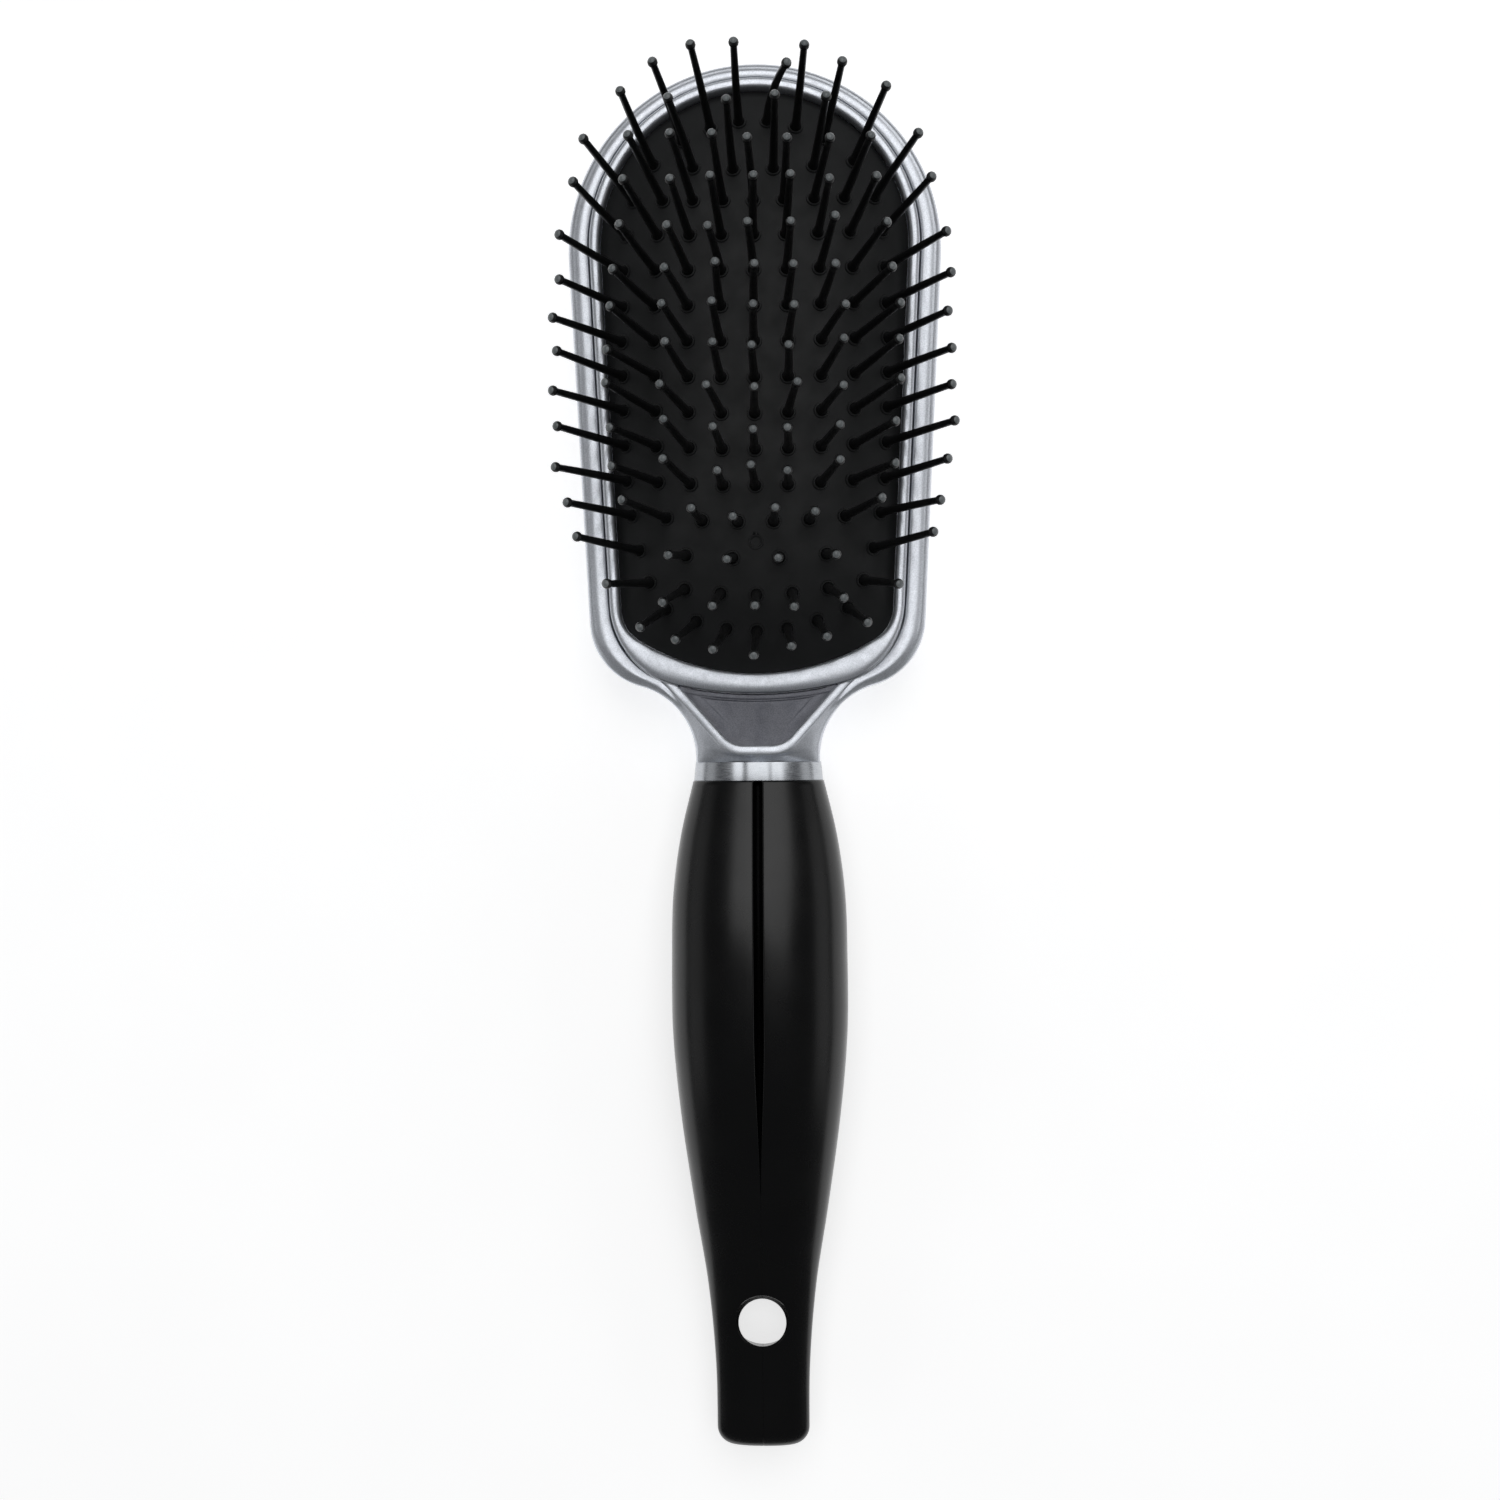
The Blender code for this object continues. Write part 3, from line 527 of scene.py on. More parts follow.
class Sheets:
    """Points and faces of one piece, gathered from grids."""

    def __init__(self):
        self.points = []
        self.faces = []
        self.slots = []

    def grid(self, rows, wrap=False, ring=False, caps=(), slot=0):
        """Adds a grid of rows. wrap closes each row, ring joins the last row to the first,
        and caps names the rows that are filled."""
        start, columns = len(self.points), len(rows[0])
        self.points += [p for row in rows for p in row]
        faces = strip_faces(len(rows), columns, start, wrap, ring)
        for row in caps:
            first = start + row % len(rows) * columns
            faces.append(tuple(range(first, first + columns)))
        self.faces += faces
        self.slots += [slot] * len(faces)

    def halves(self, rows, slot=0):
        """Adds a grid of the +X half and its mirror image."""
        self.grid(rows, slot=slot)
        self.grid([[Vector((-p.x, p.y, p.z)) for p in row] for row in rows], slot=slot)

    def lid(self, loop, slot=0):
        """Adds one face inside a loop of points."""
        start = len(self.points)
        self.points += loop
        self.faces.append(tuple(range(start, start + len(loop))))
        self.slots.append(slot)

    def build(self, name, surfaces, body=None, nodes=(), sharp=SHARP_ANGLE):
        """Makes the piece. Without a body it is a cutter or stands on the stage."""
        data = bpy.data.meshes.new(name)
        data.from_pydata(self.points, [], self.faces)
        data.polygons.foreach_set("material_index", self.slots)
        mesh = bmesh.new()
        mesh.from_mesh(data)
        bmesh.ops.remove_doubles(mesh, verts=mesh.verts, dist=1e-6)
        bmesh.ops.dissolve_degenerate(mesh, edges=mesh.edges, dist=1e-7)
        bmesh.ops.recalc_face_normals(mesh, faces=mesh.faces)
        mesh.to_mesh(data)
        mesh.free()
        for surface in surfaces:
            data.materials.append(surface)
        made = bpy.data.objects.new(name, data)
        bpy.context.scene.collection.objects.link(made)
        shade(data, sharp)
        if body:
            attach(made, body)
            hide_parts(*nodes)
        return made


def shade(data, sharp):
    data.shade_smooth()
    data.set_sharp_from_angle(angle=math.radians(sharp))


def cut(target, cutter):
    """Cuts the cutter away from the target, and removes the cutter."""
    modifier = target.modifiers.new("cut", "BOOLEAN")
    modifier.operation = "DIFFERENCE"
    modifier.solver = "EXACT"
    modifier.object = cutter
    graph = bpy.context.evaluated_depsgraph_get()
    result = bpy.data.meshes.new_from_object(target.evaluated_get(graph))
    target.modifiers.clear()
    target.data = result
    shade(result, SHARP_ANGLE)
    bpy.data.objects.remove(cutter)


def signed_power(value, power):
    return math.copysign(abs(value) ** power, value)


# ------------------------------------------------------------- materials


class Look:
    """A Principled material with fine procedural variation in the object's own space."""

    def __init__(self, name, **values):
        self.material = bpy.data.materials.new(name)
        self.material.use_nodes = True
        self.tree = self.material.node_tree
        self.shader = self.tree.nodes["Principled BSDF"]
        for key, value in values.items():
            socket = self.shader.inputs[key.replace("_", " ")]
            socket.default_value = value
        self.place = self.tree.nodes.new("ShaderNodeTexCoord").outputs["Object"]
        self.normal = None

    def noise(self, scale, detail=2.0, stretch=None):
        """A noise value, stretched by a factor along each axis."""
        place = self.place
        if stretch:
            mapping = self.tree.nodes.new("ShaderNodeMapping")
            mapping.inputs["Scale"].default_value = stretch
            self.tree.links.new(place, mapping.inputs["Vector"])
            place = mapping.outputs["Vector"]
        node = self.tree.nodes.new("ShaderNodeTexNoise")
        node.inputs["Scale"].default_value = scale
        node.inputs["Detail"].default_value = detail
        self.tree.links.new(place, node.inputs["Vector"])
        return node.outputs["Fac"]

    def colour(self, value, low, high):
        ramp = self.tree.nodes.new("ShaderNodeValToRGB")
        for stop, place, tint in zip(ramp.color_ramp.elements, COLOUR_SPAN, (low, high)):
            stop.position = place
            stop.color = (*tint, 1.0)
        self.tree.links.new(value, ramp.inputs["Fac"])
        self.tree.links.new(ramp.outputs["Color"], self.shader.inputs["Base Color"])

    def roughness(self, value, low, high):
        node = self.tree.nodes.new("ShaderNodeMapRange")
        sockets = ("From Min", "From Max", "To Min", "To Max")
        for socket, number in zip(sockets, (*ROUGHNESS_SPAN, low, high)):
            node.inputs[socket].default_value = number
        self.tree.links.new(value, node.inputs["Value"])
        self.tree.links.new(node.outputs["Result"], self.shader.inputs["Roughness"])

    def bump(self, value, strength, distance):
        node = self.tree.nodes.new("ShaderNodeBump")
        node.inputs["Strength"].default_value = strength
        node.inputs["Distance"].default_value = distance
        self.tree.links.new(value, node.inputs["Height"])
        if self.normal:
            self.tree.links.new(self.normal, node.inputs["Normal"])
        self.normal = node.outputs["Normal"]
        self.tree.links.new(self.normal, self.shader.inputs["Normal"])


def silver_lacquer():
    look = Look("silver_lacquer", Metallic=0.75, Coat_Weight=0.5, Coat_Roughness=0.12)
    flake = look.noise(5200.0, 1.0)
    look.colour(flake, (0.64, 0.67, 0.72), (0.80, 0.83, 0.89))
    look.roughness(look.noise(900.0), 0.30, 0.40)
    look.bump(flake, 0.10, 0.00002)
    look.bump(look.noise(420.0, 3.0), 0.06, 0.00008)
    return look.material


def panel_grey():
    look = Look("panel_grey", Metallic=0.55, Coat_Weight=0.35, Coat_Roughness=0.15)
    flake = look.noise(5200.0, 1.0)
    # Dark grey far below the silver: painted shade of the recessed neck, whose surface is silver
    # paint in shade.
    look.colour(flake, (0.088, 0.091, 0.110), (0.128, 0.132, 0.155))
    look.roughness(look.noise(900.0), 0.34, 0.44)
    look.bump(flake, 0.10, 0.00002)
    return look.material


def bright_band():
    look = Look("bright_band", Metallic=1.0)
    grain = look.noise(700.0, 3.0, (1.0, 12.0, 1.0))
    look.colour(grain, (0.44, 0.46, 0.49), (0.56, 0.58, 0.61))
    look.roughness(grain, 0.24, 0.32)
    look.bump(grain, 0.04, 0.00002)
    return look.material


def cushion_rubber():
    look = Look("cushion_rubber", Specular_IOR_Level=0.32, Sheen_Weight=0.08)
    grain = look.noise(1900.0, 4.0)
    look.colour(look.noise(160.0, 3.0), (0.0060, 0.0066, 0.0072), (0.0090, 0.0098, 0.0106))
    look.roughness(look.noise(240.0, 3.0), 0.50, 0.62)
    look.bump(grain, 0.18, 0.00006)
    return look.material


def nylon(name, low, high, shine, level):
    look = Look(name, Specular_IOR_Level=level)
    grain = look.noise(1300.0, 3.0)
    look.colour(look.noise(500.0), low, high)
    look.roughness(grain, *shine)
    look.bump(grain, 0.06, 0.00003)
    return look.material


def handle_black():
    look = Look("handle_black", Specular_IOR_Level=0.38, Coat_Weight=0.12, Coat_Roughness=0.20)
    grain = look.noise(2600.0, 3.0)
    look.colour(look.noise(90.0, 3.0), (0.0004, 0.0004, 0.0005), (0.0009, 0.0009, 0.0011))
    look.roughness(look.noise(130.0, 4.0), 0.24, 0.31)
    look.bump(grain, 0.07, 0.00003)
    return look.material


# ------------------------------------------------------------ the paddle


def ridge_z(y):
    """Height of the paddle's outer band at its inner edge."""
    rise = RIDGE_SLOPE * (RIDGE_RISE_Y - max(y, RIDGE_FOOT_Y))
    height = RIM_Z + (rise + math.sqrt(rise * rise + RIDGE_SOFT * RIDGE_SOFT)) / 2
    return mix((height, NECK_END_TOP_Z), smooth_share(y, RIDGE_FOOT_Y, NECK_END_Y))


def under_z(y):
    """Height of the back, which rises below the neck."""
    return NECK_UNDER_Z * smooth_share(y, UNDER_RISE_Y, NECK_END_Y)


def outward_normals(points):
    """Normals along the paddle's +X half, whose ends point along Y and X."""
    normals = [Vector((0.0, 1.0))]
    for a, b in zip(points, points[2:]):
        way = (b - a).normalized()
        normals.append(Vector((-way.y, way.x)))
    normals.append(Vector((1.0, 0.0)))
    return normals


def band_distances(last, neck):
    """How far each point of the band lies from the outline: dense over the rim's rounding on
    the head, and spread over the whole flank on the neck."""
    round_steps, flat_steps = BAND_STEPS
    steps = round_steps + flat_steps
    on_head = [RIM_ROUND * (1 - cosine) for cosine, _ in quarter_turn(round_steps)]
    for i in range(1, flat_steps + 1):
        on_head.append(mix((RIM_ROUND, last), i / flat_steps))
    turns = [FLANK_TURN * i / steps for i in range(steps + 1)]
    on_neck = [last * (1 - math.cos(a)) / (1 - math.cos(FLANK_TURN)) for a in turns]
    return [mix(pair, neck) for pair in zip(on_head, on_neck)]


def band_height(distance, reach, top, neck):
    """Height of the band at a distance from the outline. reach is the band's whole width, and
    top the height of its inner edge."""
    side = mix(SIDE_TOP_Z, neck)
    across = 1 - min(distance / RIM_ROUND, 1.0)
    along = distance / reach
    flat = min(max((distance - RIM_ROUND) / max(reach - RIM_ROUND, 1e-6), 0.0), 1.0)
    round_rise = math.sqrt(1 - across * across)
    curved_rise = (1 - (1 - along) ** FLANK_POWER) ** (1 / FLANK_POWER)
    flank_rise = NECK_SLANT * along + (1 - NECK_SLANT) * curved_rise
    z = side + (top - side) * mix((round_rise, flank_rise), neck)
    z += RIM_CROWN * (1 - neck) * math.sin(math.pi * flat)
    return z + SHOULDER_CROWN * 4 * neck * (1 - neck) * math.sin(math.pi * along) ** 2


def band_section(outer, inner, neck, edge):
    """Distance from the outline and height of each point of the band from the side's top to
    its inner edge. neck goes from 0 on the head to 1 on the neck, and edge is the rounding."""
    reach = (inner - outer).length
    top = ridge_z(inner.y)
    places = band_distances(reach - edge, neck)
    section = [(place, band_height(place, reach, top, neck)) for place in places]
    z = section[-1][1]
    section.append((reach - EDGE_MIDDLE * edge, z - EDGE_MIDDLE * edge))
    section.append((reach, z - edge))
    return section


def band_stations():
    """For each station round the +X half: its outline point, normal and inner point."""
    outer = paddle_half()
    return list(zip(outer, outward_normals(outer), ridge_half(outer)))


def back_section(point, normal, neck):
    """The paddle's points at one station, from the middle of the back to the top of its side."""
    low = under_z(point.y)
    section = []
    for cosine, sine in quarter_turn(BACK_STEPS):
        at = point - normal * (mix(BACK_ROUND_WIDTH, neck) * (1 - sine))
        z = low + mix(BACK_ROUND_HEIGHT, neck) * (1 - cosine)
        section.append(Vector((at.x, at.y, z)))
    return [Vector((0.0, section[0].y, low)), *section]


def paddle_shell(sheets):
    """The outside of the head and neck, from the middle of the back to the bezel, and the
    pocket under the cushion."""
    corner_end = CAP_STEPS + SIDE_STEPS + CORNER_STEPS
    columns = []
    for i, (point, normal, inner) in enumerate(band_stations()):
        neck = smooth_share(point.y, NECK_START_Y, NECK_FULL_Y)
        column = back_section(point, normal, neck)
        direction = (inner - point).normalized()
        edge = EDGE_ROUND * (1 - smooth_share(i, *(corner_end + k for k in EDGE_FADE)))
        for place, z in band_section(point, inner, neck, edge):
            at = point + direction * place
            column.append(Vector((at.x, at.y, z)))
        columns.append(column)
    pocket = []
    for top in [column[-1] for column in columns[:-1]]:
        wall = Vector((top.x, top.y, POCKET_Z))
        pocket.append([top, wall, Vector((0.0, wall.y, POCKET_Z))])
    sheets.halves(columns)
    sheets.halves(pocket)
    end = columns[-1]
    sheets.halves([end, [Vector((0.0, p.y, p.z)) for p in end]])


def crest_lift(share):
    """Height of the crest's rounded top above the ridge's own height."""
    across = 2 * share - 1
    return CREST_HEIGHT * math.sqrt(max(1 - across * across, 0.0)) - CREST_DROP * share**4


def neck_crest(sheets):
    """The rounded crest along the ridge, between the neck's flank and the panel."""
    half = ridge_line()
    line = half + [Vector((-p.x, p.y)) for p in reversed(half[:-1])]
    seat = bezel_seat()[0][CAP_STEPS + SIDE_STEPS :]
    # Each point's place across the crest and its lift, where None goes down to the pocket.
    shares = [k / CREST_STEPS for k in range(1, CREST_STEPS + 1)]
    section = [(0.0, None), (0.0, -CREST_SET)]
    section += [(share, crest_lift(share)) for share in shares] + [(1.0, None)]
    rows = [[] for _ in section]
    for i, point in enumerate(line):
        way = (line[min(i + 1, len(line) - 1)] - line[max(i - 1, 0)]).normalized()
        inward = Vector((way.y, -way.x))
        for row, (share, lift) in zip(rows, section):
            at = point + inward * (RIDGE_WIDTH * share)
            at.y = min(at.y, line_y(seat, abs(at.x)))
            z = POCKET_Z if lift is None else ridge_z(point.y) + lift
            row.append(Vector((at.x, at.y, z)))
    sheets.grid(rows, ring=True)
    for i in (0, -1):
        sheets.lid([row[i] for row in rows])


def paddle_body(surface):
    """The head and neck, in one piece with the crest."""
    sheets = Sheets()
    paddle_shell(sheets)
    neck_crest(sheets)
    return sheets.build("paddle_body_skin", [surface], "brush", ["paddle_body"])


def cushion_bezel(surface):
    """The bezel: a ring with a crowned top."""
    outer, inner = mirrored(bezel_half(0.0)), opening_outline(0.0)
    rows = [lifted(outer, BEZEL_BOTTOM_Z)]
    for i in range(BEZEL_STEPS + 1):
        angle = math.pi * i / BEZEL_STEPS
        across = (1 - math.cos(angle)) / 2
        z = BEZEL_TOP_Z - BEZEL_CROWN * (1 - math.sin(angle) ** 0.5)
        rows.append(lifted([a.lerp(b, across) for a, b in zip(outer, inner)], z))
    rows.append(lifted(inner, BEZEL_BOTTOM_Z))
    sheets = Sheets()
    sheets.grid(rows, wrap=True, ring=True)
    return sheets.build("cushion_bezel_ring", [surface], "brush", ["cushion_bezel"])


def panel_z(p):
    """Height of the panel's face, with a fine bead below the bezel."""
    centre = Vector((0.0, BEZEL_FOOT_Y + BEZEL_FOOT_RADIUS))
    below = (p - centre).length - BEZEL_FOOT_RADIUS
    place, half_width, height = PANEL_BEAD
    bead = height * math.exp(-(((below - place) / half_width) ** 2))
    return ridge_z(p.y) - PANEL_RECESS + bead


def neck_panel(surface):
    """The inlay in the neck: its wall, its beveled edge and its face."""
    edge, bevel = PANEL_EDGE, EDGE_MIDDLE * PANEL_EDGE
    rows = []
    for inset, drop in ((0.0, PANEL_DEPTH), (0.0, edge), (bevel, bevel), (edge, 0.0)):
        outline = panel_outline(-PANEL_GAP - inset)
        rows.append([Vector((p.x, p.y, panel_z(p) - drop)) for p in outline])
    for i in range(1, PANEL_RINGS):
        share = 1 - i / PANEL_RINGS
        ring = [PANEL_MIDDLE + (p - PANEL_MIDDLE) * share for p in outline]
        rows.append(lifted(ring, panel_z))
    sheets = Sheets()
    sheets.grid(rows, wrap=True, caps=(0, -1))
    return sheets.build("neck_panel_plate", [surface], "brush", ["neck_panel"])


def ferrule_loop(y, size, shrink=0.0):
    """A superellipse round the Y axis at this y, made smaller by shrink all round."""
    half_width, low, high = size
    half_width, low, high = half_width - shrink, low + shrink, high - shrink
    middle, half_height = (low + high) / 2, (high - low) / 2
    power = 2 / FERRULE_SQUARENESS
    loop = []
    for i in range(FERRULE_SIDES):
        angle = 2 * math.pi * i / FERRULE_SIDES
        x = half_width * signed_power(math.cos(angle), power)
        z = half_height * signed_power(math.sin(angle), power)
        loop.append(Vector((x, y, middle + z)))
    return loop


def ferrule(surface):
    """The bright band, with rounded ends and a soft flute on both sides of its middle."""
    place, half_width, depth = FERRULE_FLUTE
    turns = quarter_turn(FERRULE_EDGE_STEPS)
    rows = [ferrule_loop(FERRULE_TOP_Y, FERRULE_INNER)]
    for cosine, sine in turns:
        y = FERRULE_TOP_Y - FERRULE_EDGE * (1 - cosine)
        rows.append(ferrule_loop(y, FERRULE_TOP, FERRULE_EDGE * (1 - sine)))
    for cosine, sine in reversed(turns):
        y = FERRULE_JOIN_Y + FERRULE_EDGE * (1 - cosine)
        rows.append(ferrule_loop(y, FERRULE_END, FERRULE_EDGE * (1 - sine)))
    rows.append(ferrule_loop(FERRULE_JOIN_Y, FERRULE_INNER))
    for p in [p for row in rows[1:-1] for p in row if p.z > FERRULE_INNER[2]]:
        p.z -= depth * math.exp(-(((abs(p.x) - place) / half_width) ** 2))
    sheets = Sheets()
    sheets.grid(rows, wrap=True, ring=True)
    return sheets.build("ferrule_band", [surface], "brush", ["ferrule"])


# ---------------------------------------------------------- the cushion


EDGE_OUTLINE = opening_outline(CUSHION_GROW)


def dome_share(x, y):
    """How far out a point lies: 0 at the cushion's middle, 1 at its edge."""
    ray = Vector((x, y)) - DOME_CENTRE
    if ray.length < 1e-9:
        return 0.0
    edge = cast(EDGE_OUTLINE, DOME_CENTRE, ray.normalized()) - DOME_CENTRE
    return ray.length / edge.length


def dome_point(x, y):
    """The point of the cushion's skin at x and y."""
    height = DOME_HEIGHT * (1 - dome_share(x, y) ** DOME_POWER)
    return Vector((x, y, DOME_EDGE_Z + height))


def dome_normal(x, y):
    """The skin's normal, from the slopes over a small step."""
    step = 0.0002
    along_x = dome_point(x + step, y) - dome_point(x - step, y)
    along_y = dome_point(x, y + step) - dome_point(x, y - step)
    return along_x.cross(along_y).normalized()


def loop_round(point, normal, radius, sides):
    """A circle of points round a point, square to the normal."""
    across = Vector((1.0, 0.0, 0.0))
    across = (across - normal * across.dot(normal)).normalized()
    along = normal.cross(across)
    loop = []
    for i in range(sides):
        angle = 2 * math.pi * i / sides
        spoke = across * math.cos(angle) + along * math.sin(angle)
        loop.append(point + spoke * radius)
    return loop


def collar(sheets, point, normal, hole, outer, height):
    """A low raised lip round a hole, rooted in the cushion's skin."""
    middle = 0.5 * (outer + hole)
    profile = (
        (outer, -COLLAR_ROOT),
        (outer - COLLAR_FLANK, 0.35 * height),
        (middle + COLLAR_FLAT[0], height),
        (middle - COLLAR_FLAT[1], height),
        (hole, 0.45 * height),
        (hole, -COLLAR_DEPTH),
    )
    rows = [
        loop_round(point + normal * z, normal, radius, COLLAR_SIDES) for radius, z in profile
    ]
    sheets.grid(rows, wrap=True)


def air_cushion(surface, pins):
    """The domed rubber skin with a lip round each pin and round the vent."""
    rows = [lifted(EDGE_OUTLINE, FLANGE_Z)]
    for cosine, _ in quarter_turn(DOME_RINGS):
        share = max(cosine**RING_SPACING, MIDDLE_RING)
        ring = [DOME_CENTRE + (p - DOME_CENTRE) * share for p in EDGE_OUTLINE]
        rows.append(lifted(ring, DOME_EDGE_Z + DOME_HEIGHT * (1 - share**DOME_POWER)))
    sheets = Sheets()
    sheets.grid(rows, wrap=True, caps=(0, -1))
    for point, normal in [pin for row in pins for pin in row]:
        collar(sheets, point, normal, PIN_HOLE_RADIUS, COLLAR_RADIUS, COLLAR_HEIGHT)
    vent, up = dome_point(0.0, VENT_Y), dome_normal(0.0, VENT_Y)
    lip_width, lip_height = VENT_LIP
    collar(sheets, vent, up, VENT_RADIUS, VENT_RADIUS + lip_width, lip_height)
    cushion = sheets.build("air_cushion_skin", [surface], "brush", ["air_cushion"])
    drill = Sheets()
    bar = [loop_round(vent + up * z, up, VENT_RADIUS, COLLAR_SIDES) for z in VENT_DRILL]
    drill.grid(bar, wrap=True, caps=(0, -1))
    cut(cushion, drill.build("vent_drill", [surface]))
    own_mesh(cushion)
    return cushion


# ---------------------------------------------------------- the pins


def row_y(row, x):
    middle = FIRST_ROW_Y + row * ROW_PITCH + ROW_SHIFTS.get(row, 0.0)
    return middle + PIN_ROWS[row][2] * x * x


def row_pins(row):
    """The surface point and direction of each pin of a row, from -X to +X."""
    count, half_width, _ = PIN_ROWS[row]
    pins = []
    for i in range(count):
        x = half_width * (2 * i / (count - 1) - 1)
        y = row_y(row, x)
        pins.append((dome_point(x, y), dome_normal(x, y)))
    return pins


def pin_profile():
    """Height above the cushion and radius, up the shaft and ball, then over its cap, whose
    lighter grey is a painted highlight.
    """
    ball = PIN_LENGTH - PIN_BALL_RADIUS

    def on_ball(start, end, steps):
        angles = [start + (end - start) * i / steps for i in range(steps + 1)]
        return [
            (ball - PIN_BALL_RADIUS * math.cos(a), PIN_BALL_RADIUS * math.sin(a))
            for a in angles
        ]

    join = math.asin(PIN_NECK_RADIUS / PIN_BALL_RADIUS)
    top = ball - PIN_BALL_RADIUS * math.cos(join)
    height, flare = PIN_FLARE
    shaft = [(-PIN_SINK, PIN_SHAFT_RADIUS), (0.0, PIN_ROOT_RADIUS)]
    shaft.append((height, mix((PIN_SHAFT_RADIUS, PIN_ROOT_RADIUS), flare)))
    for share in [i / PIN_STEPS for i in range(PIN_STEPS + 1)]:
        radius = mix((PIN_SHAFT_RADIUS, PIN_NECK_RADIUS), share)
        shaft.append((mix((PIN_FLARE_TOP, top), share), radius))
    below_cap, over_cap = BALL_STEPS
    shaft += on_ball(join, math.pi - HIGHLIGHT_CAP, below_cap)[1:]
    return shaft, on_ball(math.pi - HIGHLIGHT_CAP, math.pi - TIP_FLAT, over_cap)


def bent_loops(profile, point, normal, lean):
    """Loops of a pin that leans by lean at its tip, more and more towards the tip."""
    loops = []
    for height, radius in profile:
        share = max(height, 0.0) / PIN_LENGTH
        centre = point + normal * height + lean * share**LEAN_POWER
        slope = LEAN_POWER * share ** (LEAN_POWER - 1) / PIN_LENGTH
        loops.append(loop_round(centre, (normal + lean * slope).normalized(), radius, PIN_SIDES))
    return loops


def pin_row(row, pins, surfaces, chance):
    """All pins of one row, each with a slight lean of its own."""
    shaft, tip = pin_profile()
    sheets = Sheets()
    for i, (point, normal) in enumerate(pins):
        lean = Vector([chance.uniform(-1, 1) for _ in range(3)]) * PIN_LEAN
        if (row, i) == BENT_PIN:
            lean = BENT_PIN_LEAN
        lean -= normal * lean.dot(normal)
        sheets.grid(bent_loops(shaft, point, normal, lean), wrap=True, caps=(0,))
        # The cap's slot holds a lighter grey: a painted highlight of the lamp above.
        sheets.grid(bent_loops(tip, point, normal, lean), wrap=True, caps=(-1,), slot=1)
    number = f"{row + 1:02d}"
    name = f"pin_row_{number}"
    made = sheets.build(f"{name}_pins", surfaces, f"row_{number}", [name], PIN_SHARP_ANGLE)
    return made


# ---------------------------------------------------------- the handle


def handle_size(y):
    """Half width, lowest and highest z of the handle at y, smoothly between stations."""
    stations = HANDLE_STATIONS
    last = len(stations) - 1
    i = next((k for k in range(last) if y >= stations[k + 1][0]), last - 1)

    def slope(k, value):
        a, b = stations[max(k - 1, 0)], stations[min(k + 1, last)]
        return (b[value] - a[value]) / (b[0] - a[0])

    a, b = stations[i], stations[i + 1]
    span = b[0] - a[0]
    t = min(max((y - a[0]) / span, 0.0), 1.0)
    return [
        (2 * t**3 - 3 * t**2 + 1) * a[v]
        + (t**3 - 2 * t**2 + t) * span * slope(i, v)
        + (3 * t**2 - 2 * t**3) * b[v]
        + (t**3 - t**2) * span * slope(i + 1, v)
        for v in (1, 2, 3)
    ]


def shell_section(y, side, closing=0.0, edge=0.0):
    """One half of the handle at y, from the front groove round to the back groove. closing
    goes from 0 to 1 over the rounded end, and edge is how much smaller the section is."""
    half_width, low, high = handle_size(y)
    half_width -= HANDLE_END_ROUND * closing + edge
    shrink = HANDLE_END_DROP * closing
    low, high = low + shrink + edge, high - shrink - edge
    middle, half_height = (low + high) / 2, (high - low) / 2
    power = 2 / HANDLE_SQUARENESS
    fade = smooth_share(y, *GROOVE_FADE_Y)
    half_gap, depth, lip_round = (mix(pair, fade) for pair in zip(GROOVE, SEAM))
    lip = half_gap + lip_round
    start = math.acos((lip / half_width) ** (HANDLE_SQUARENESS / 2))
    curve = []
    for i in range(HANDLE_SIDE_STEPS + 1):
        angle = start * (1 - 2 * i / HANDLE_SIDE_STEPS)
        x = half_width * signed_power(math.cos(angle), power)
        curve.append((x, middle + half_height * signed_power(math.sin(angle), power)))
    top, bottom = curve[0][1], curve[-1][1]
    turns = quarter_turn(GROOVE_STEPS)[1:]
    groove = [(lip - lip_round * sine, lip_round * (1 - cosine)) for cosine, sine in turns]
    front = [(x, top - drop) for x, drop in reversed(groove)]
    back = [(x, bottom + drop) for x, drop in groove]
    floor_x, floor_depth = half_gap * GROOVE_FLOOR[0], GROOVE_FLOOR[1] * depth
    floor = [(-SEAM_OVERLAP, top - depth), (floor_x, top - floor_depth)]
    under = [(floor_x, bottom + floor_depth), (-SEAM_OVERLAP, bottom + depth)]
    return [Vector((side * x, y, z)) for x, z in floor + front + curve + back + under]


def handle_shell(name, side, surface, hole):
    """One half of the handle, from the ferrule to its rounded end, with its share of the
    hanging hole."""
    round_start = END_Y + HANDLE_END_ROUND
    steps = round((HANDLE_TOP_Y - round_start) / HANDLE_STEP)
    rows = []
    for cosine, sine in quarter_turn(HANDLE_EDGE_STEPS):
        y = HANDLE_TOP_Y - HANDLE_EDGE * (1 - cosine)
        rows.append(shell_section(y, side, edge=HANDLE_EDGE * (1 - sine)))
    for i in range(1, steps + 1):
        y = HANDLE_TOP_Y + (round_start - HANDLE_TOP_Y) * i / steps
        rows.append(shell_section(y, side))
    for cosine, sine in quarter_turn(HANDLE_END_STEPS)[1:]:
        rows.append(shell_section(round_start - HANDLE_END_ROUND * sine, side, 1 - cosine))
    sheets = Sheets()
    sheets.grid(rows, wrap=True, caps=(0, -1))
    shell = sheets.build(f"{name}_cover", [surface], "brush", [name])
    drill = Sheets()
    drill.grid(hole, wrap=True, caps=(0, -1))
    cut(shell, drill.build("hole_drill", [surface]))
    return shell


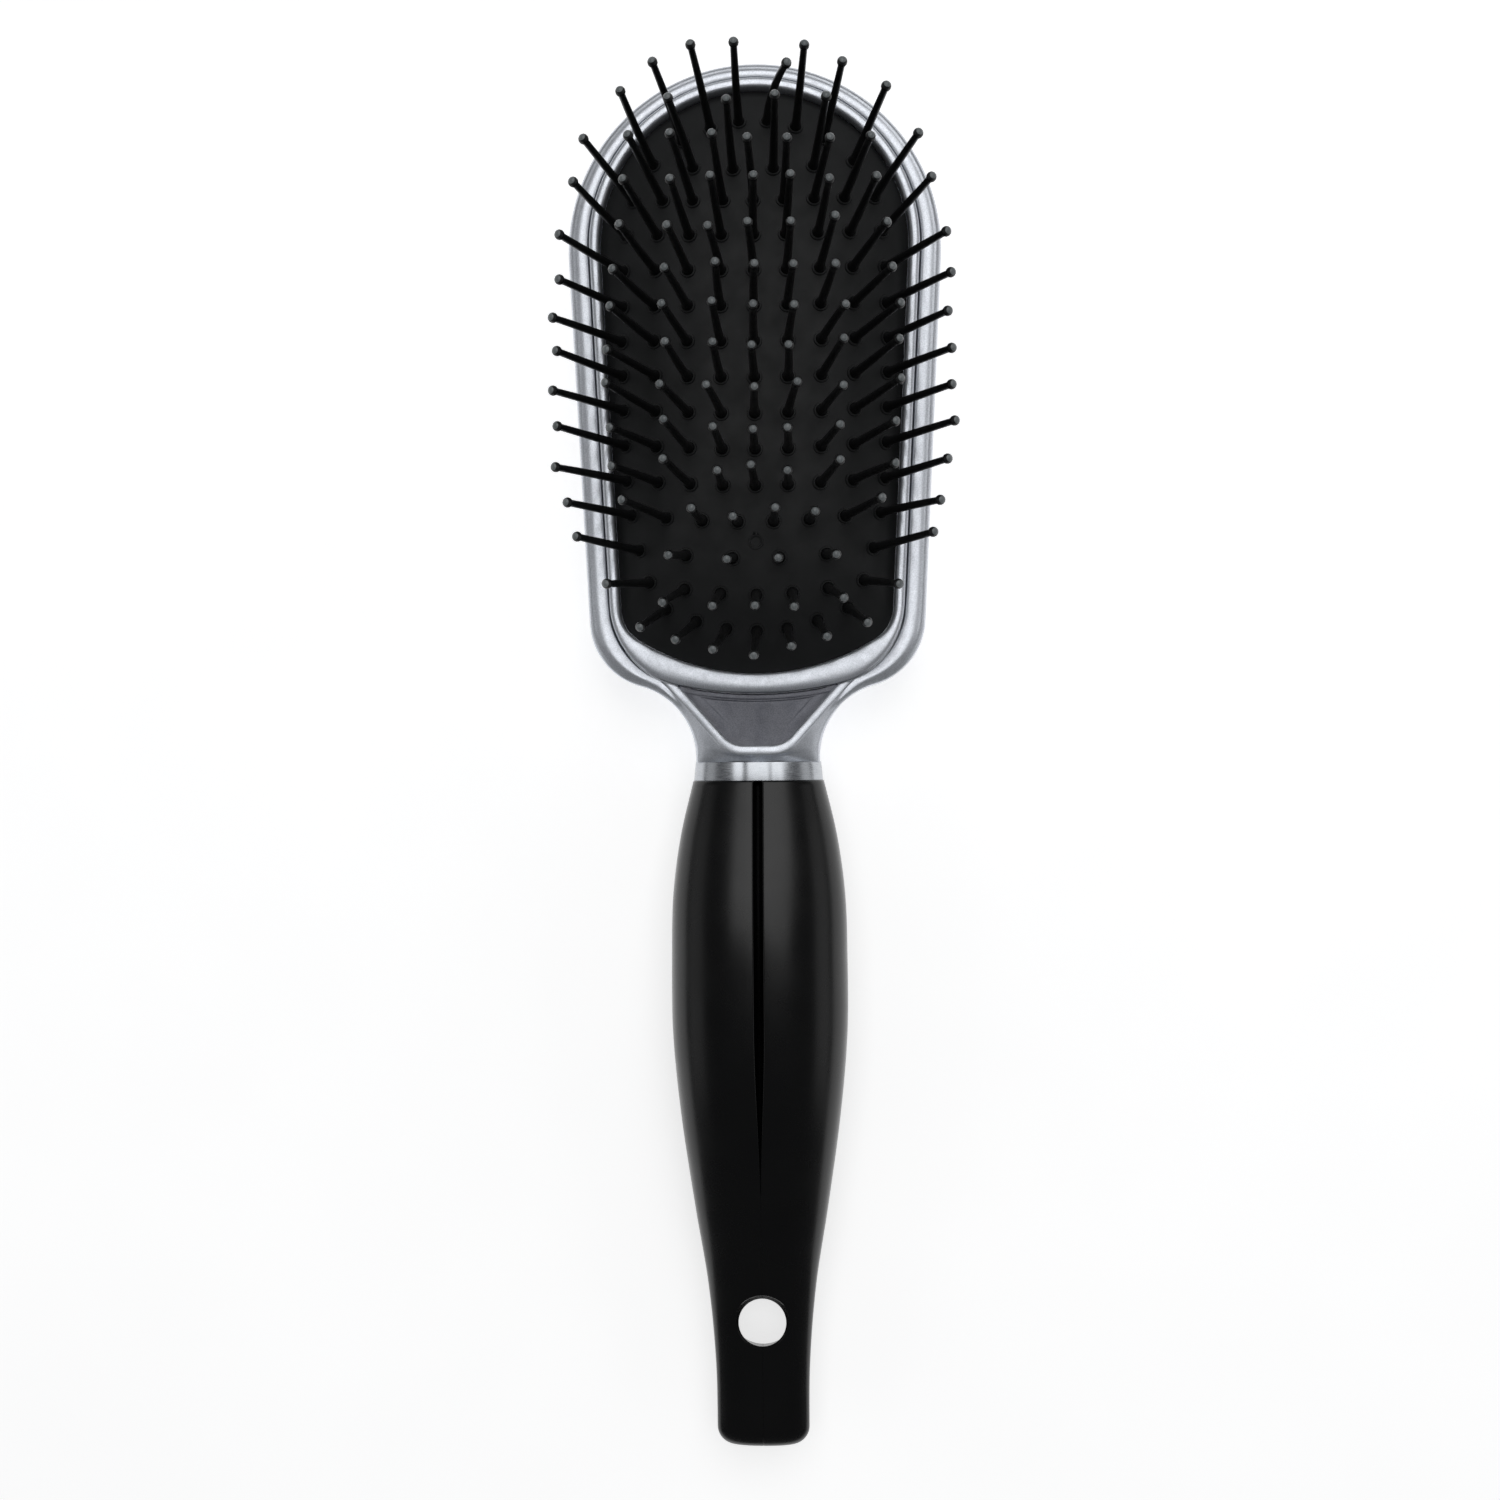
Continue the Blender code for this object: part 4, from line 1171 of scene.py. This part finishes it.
def hole_rows():
    """Loops of the hanging hole, up through the handle, with a rounded flare at both faces."""
    _, low, high = handle_size(HOLE_Y)
    front, lip = FRONT_COUNTERSINK, BACK_LIP
    proud, round_height, round_width = 0.3 * front, 1.6 * front, 1.4 * front
    slope = BACK_FLARE / (high - front - low)
    profile = [(low - HOLE_BEYOND, HOLE_RADIUS + BACK_FLARE + slope * HOLE_BEYOND + lip)]
    for _, sine in quarter_turn(HOLE_STEPS):
        z = low + 1.5 * lip * sine
        flare = BACK_FLARE - slope * (z - low)
        profile.append((z, HOLE_RADIUS + flare + lip * (1 - sine)))
    for cosine, _ in quarter_turn(HOLE_STEPS):
        radius = HOLE_RADIUS + round_width * (1 - cosine)
        profile.append((high + proud - round_height * cosine, radius))
    profile.append((high + HOLE_BEYOND, HOLE_RADIUS + 3.0 * front))
    centre = Vector((0.0, HOLE_Y))
    return [lifted(circle(centre, radius, HOLE_SIDES), z) for z, radius in profile]


# ------------------------------------------------------ floor, light, camera


def floor():
    look = Look(
        "floor_paper",
        Roughness=0.9,
        Specular_IOR_Level=0.1,
        Emission_Color=(1.0, 1.0, 1.0, 1.0),
        Emission_Strength=FLOOR_GLOW,
    )
    look.colour(look.noise(30.0), (0.86, 0.86, 0.86), (0.88, 0.88, 0.88))
    sheets = Sheets()
    sheets.lid(lifted(circle(Vector((0.0, 0.0)), FLOOR_RADIUS, FLOOR_SIDES), FLOOR_Z))
    made = sheets.build("floor", [look.material])


def area_light(name, place, aim, size, power):
    """A rectangular lamp at place, turned towards aim."""
    data = bpy.data.lights.new(name, "AREA")
    data.shape = "RECTANGLE"
    data.size, data.size_y = size
    data.energy = power
    made = bpy.data.objects.new(name, data)
    bpy.context.scene.collection.objects.link(made)
    made.location = place
    made.rotation_euler = (Vector(place) - Vector(aim)).to_track_quat("Z", "Y").to_euler()


def light():
    world = bpy.data.worlds.new("studio")
    bpy.context.scene.world = world
    world.use_nodes = True
    background = world.node_tree.nodes["Background"]
    background.inputs["Color"].default_value = (0.95, 0.97, 1.0, 1.0)
    background.inputs["Strength"].default_value = 0.11
    area_light("head_box", (0.05, 0.36, 0.80), (0.01, 0.05, 0), (0.70, 0.95), 3.2)
    for name, x, power in (("left_box", -0.80, 0.45), ("right_box", 0.80, 0.6)):
        area_light(name, (x, 0.0, 0.35), (0, 0, 0), (0.9, 0.4), power)
    bpy.context.scene.view_settings.view_transform = "Standard"


def camera():
    data = bpy.data.cameras.new("camera")
    data.sensor_width = 36.0
    data.lens = CAMERA_LENS
    data.clip_start = 0.01
    made = bpy.data.objects.new("camera", data)
    bpy.context.scene.collection.objects.link(made)
    x, y, z = (math.radians(a) for a in CAMERA_TURN)
    turn = Matrix.Rotation(z, 3, "Z") @ Matrix.Rotation(y, 3, "Y") @ Matrix.Rotation(x, 3, "X")
    made.location = CAMERA_PLACE
    made.rotation_euler = turn.to_euler()
    bpy.context.scene.camera = made


def main():
    silver = silver_lacquer()
    black = handle_black()
    shaft_tones = ((0.0045, 0.0047, 0.005), (0.008, 0.0083, 0.0088))
    shaft = nylon("pin_nylon", *shaft_tones, (0.30, 0.40), 0.4)
    # Lighter grey on the ball's cap only: a painted highlight of the lamp above on the black
    # tips.
    tip_highlight_tones = ((0.15, 0.165, 0.17), (0.20, 0.215, 0.22))
    tip = nylon("pin_tip_highlight", *tip_highlight_tones, (0.22, 0.30), 0.5)
    pins = [row_pins(row) for row in range(len(PIN_ROWS))]
    paddle_body(silver)
    cushion_bezel(silver)
    neck_panel(panel_grey())
    ferrule(bright_band())
    air_cushion(cushion_rubber(), pins)
    chance = random.Random(7)
    for row, row_of_pins in enumerate(pins):
        pin_row(row, row_of_pins, [shaft, tip], chance)
    rows = hole_rows()
    handle_shell("handle_shell_left", -1, black, rows)
    handle_shell("handle_shell_right", 1, black, rows)
    floor()
    light()
    camera()


main()
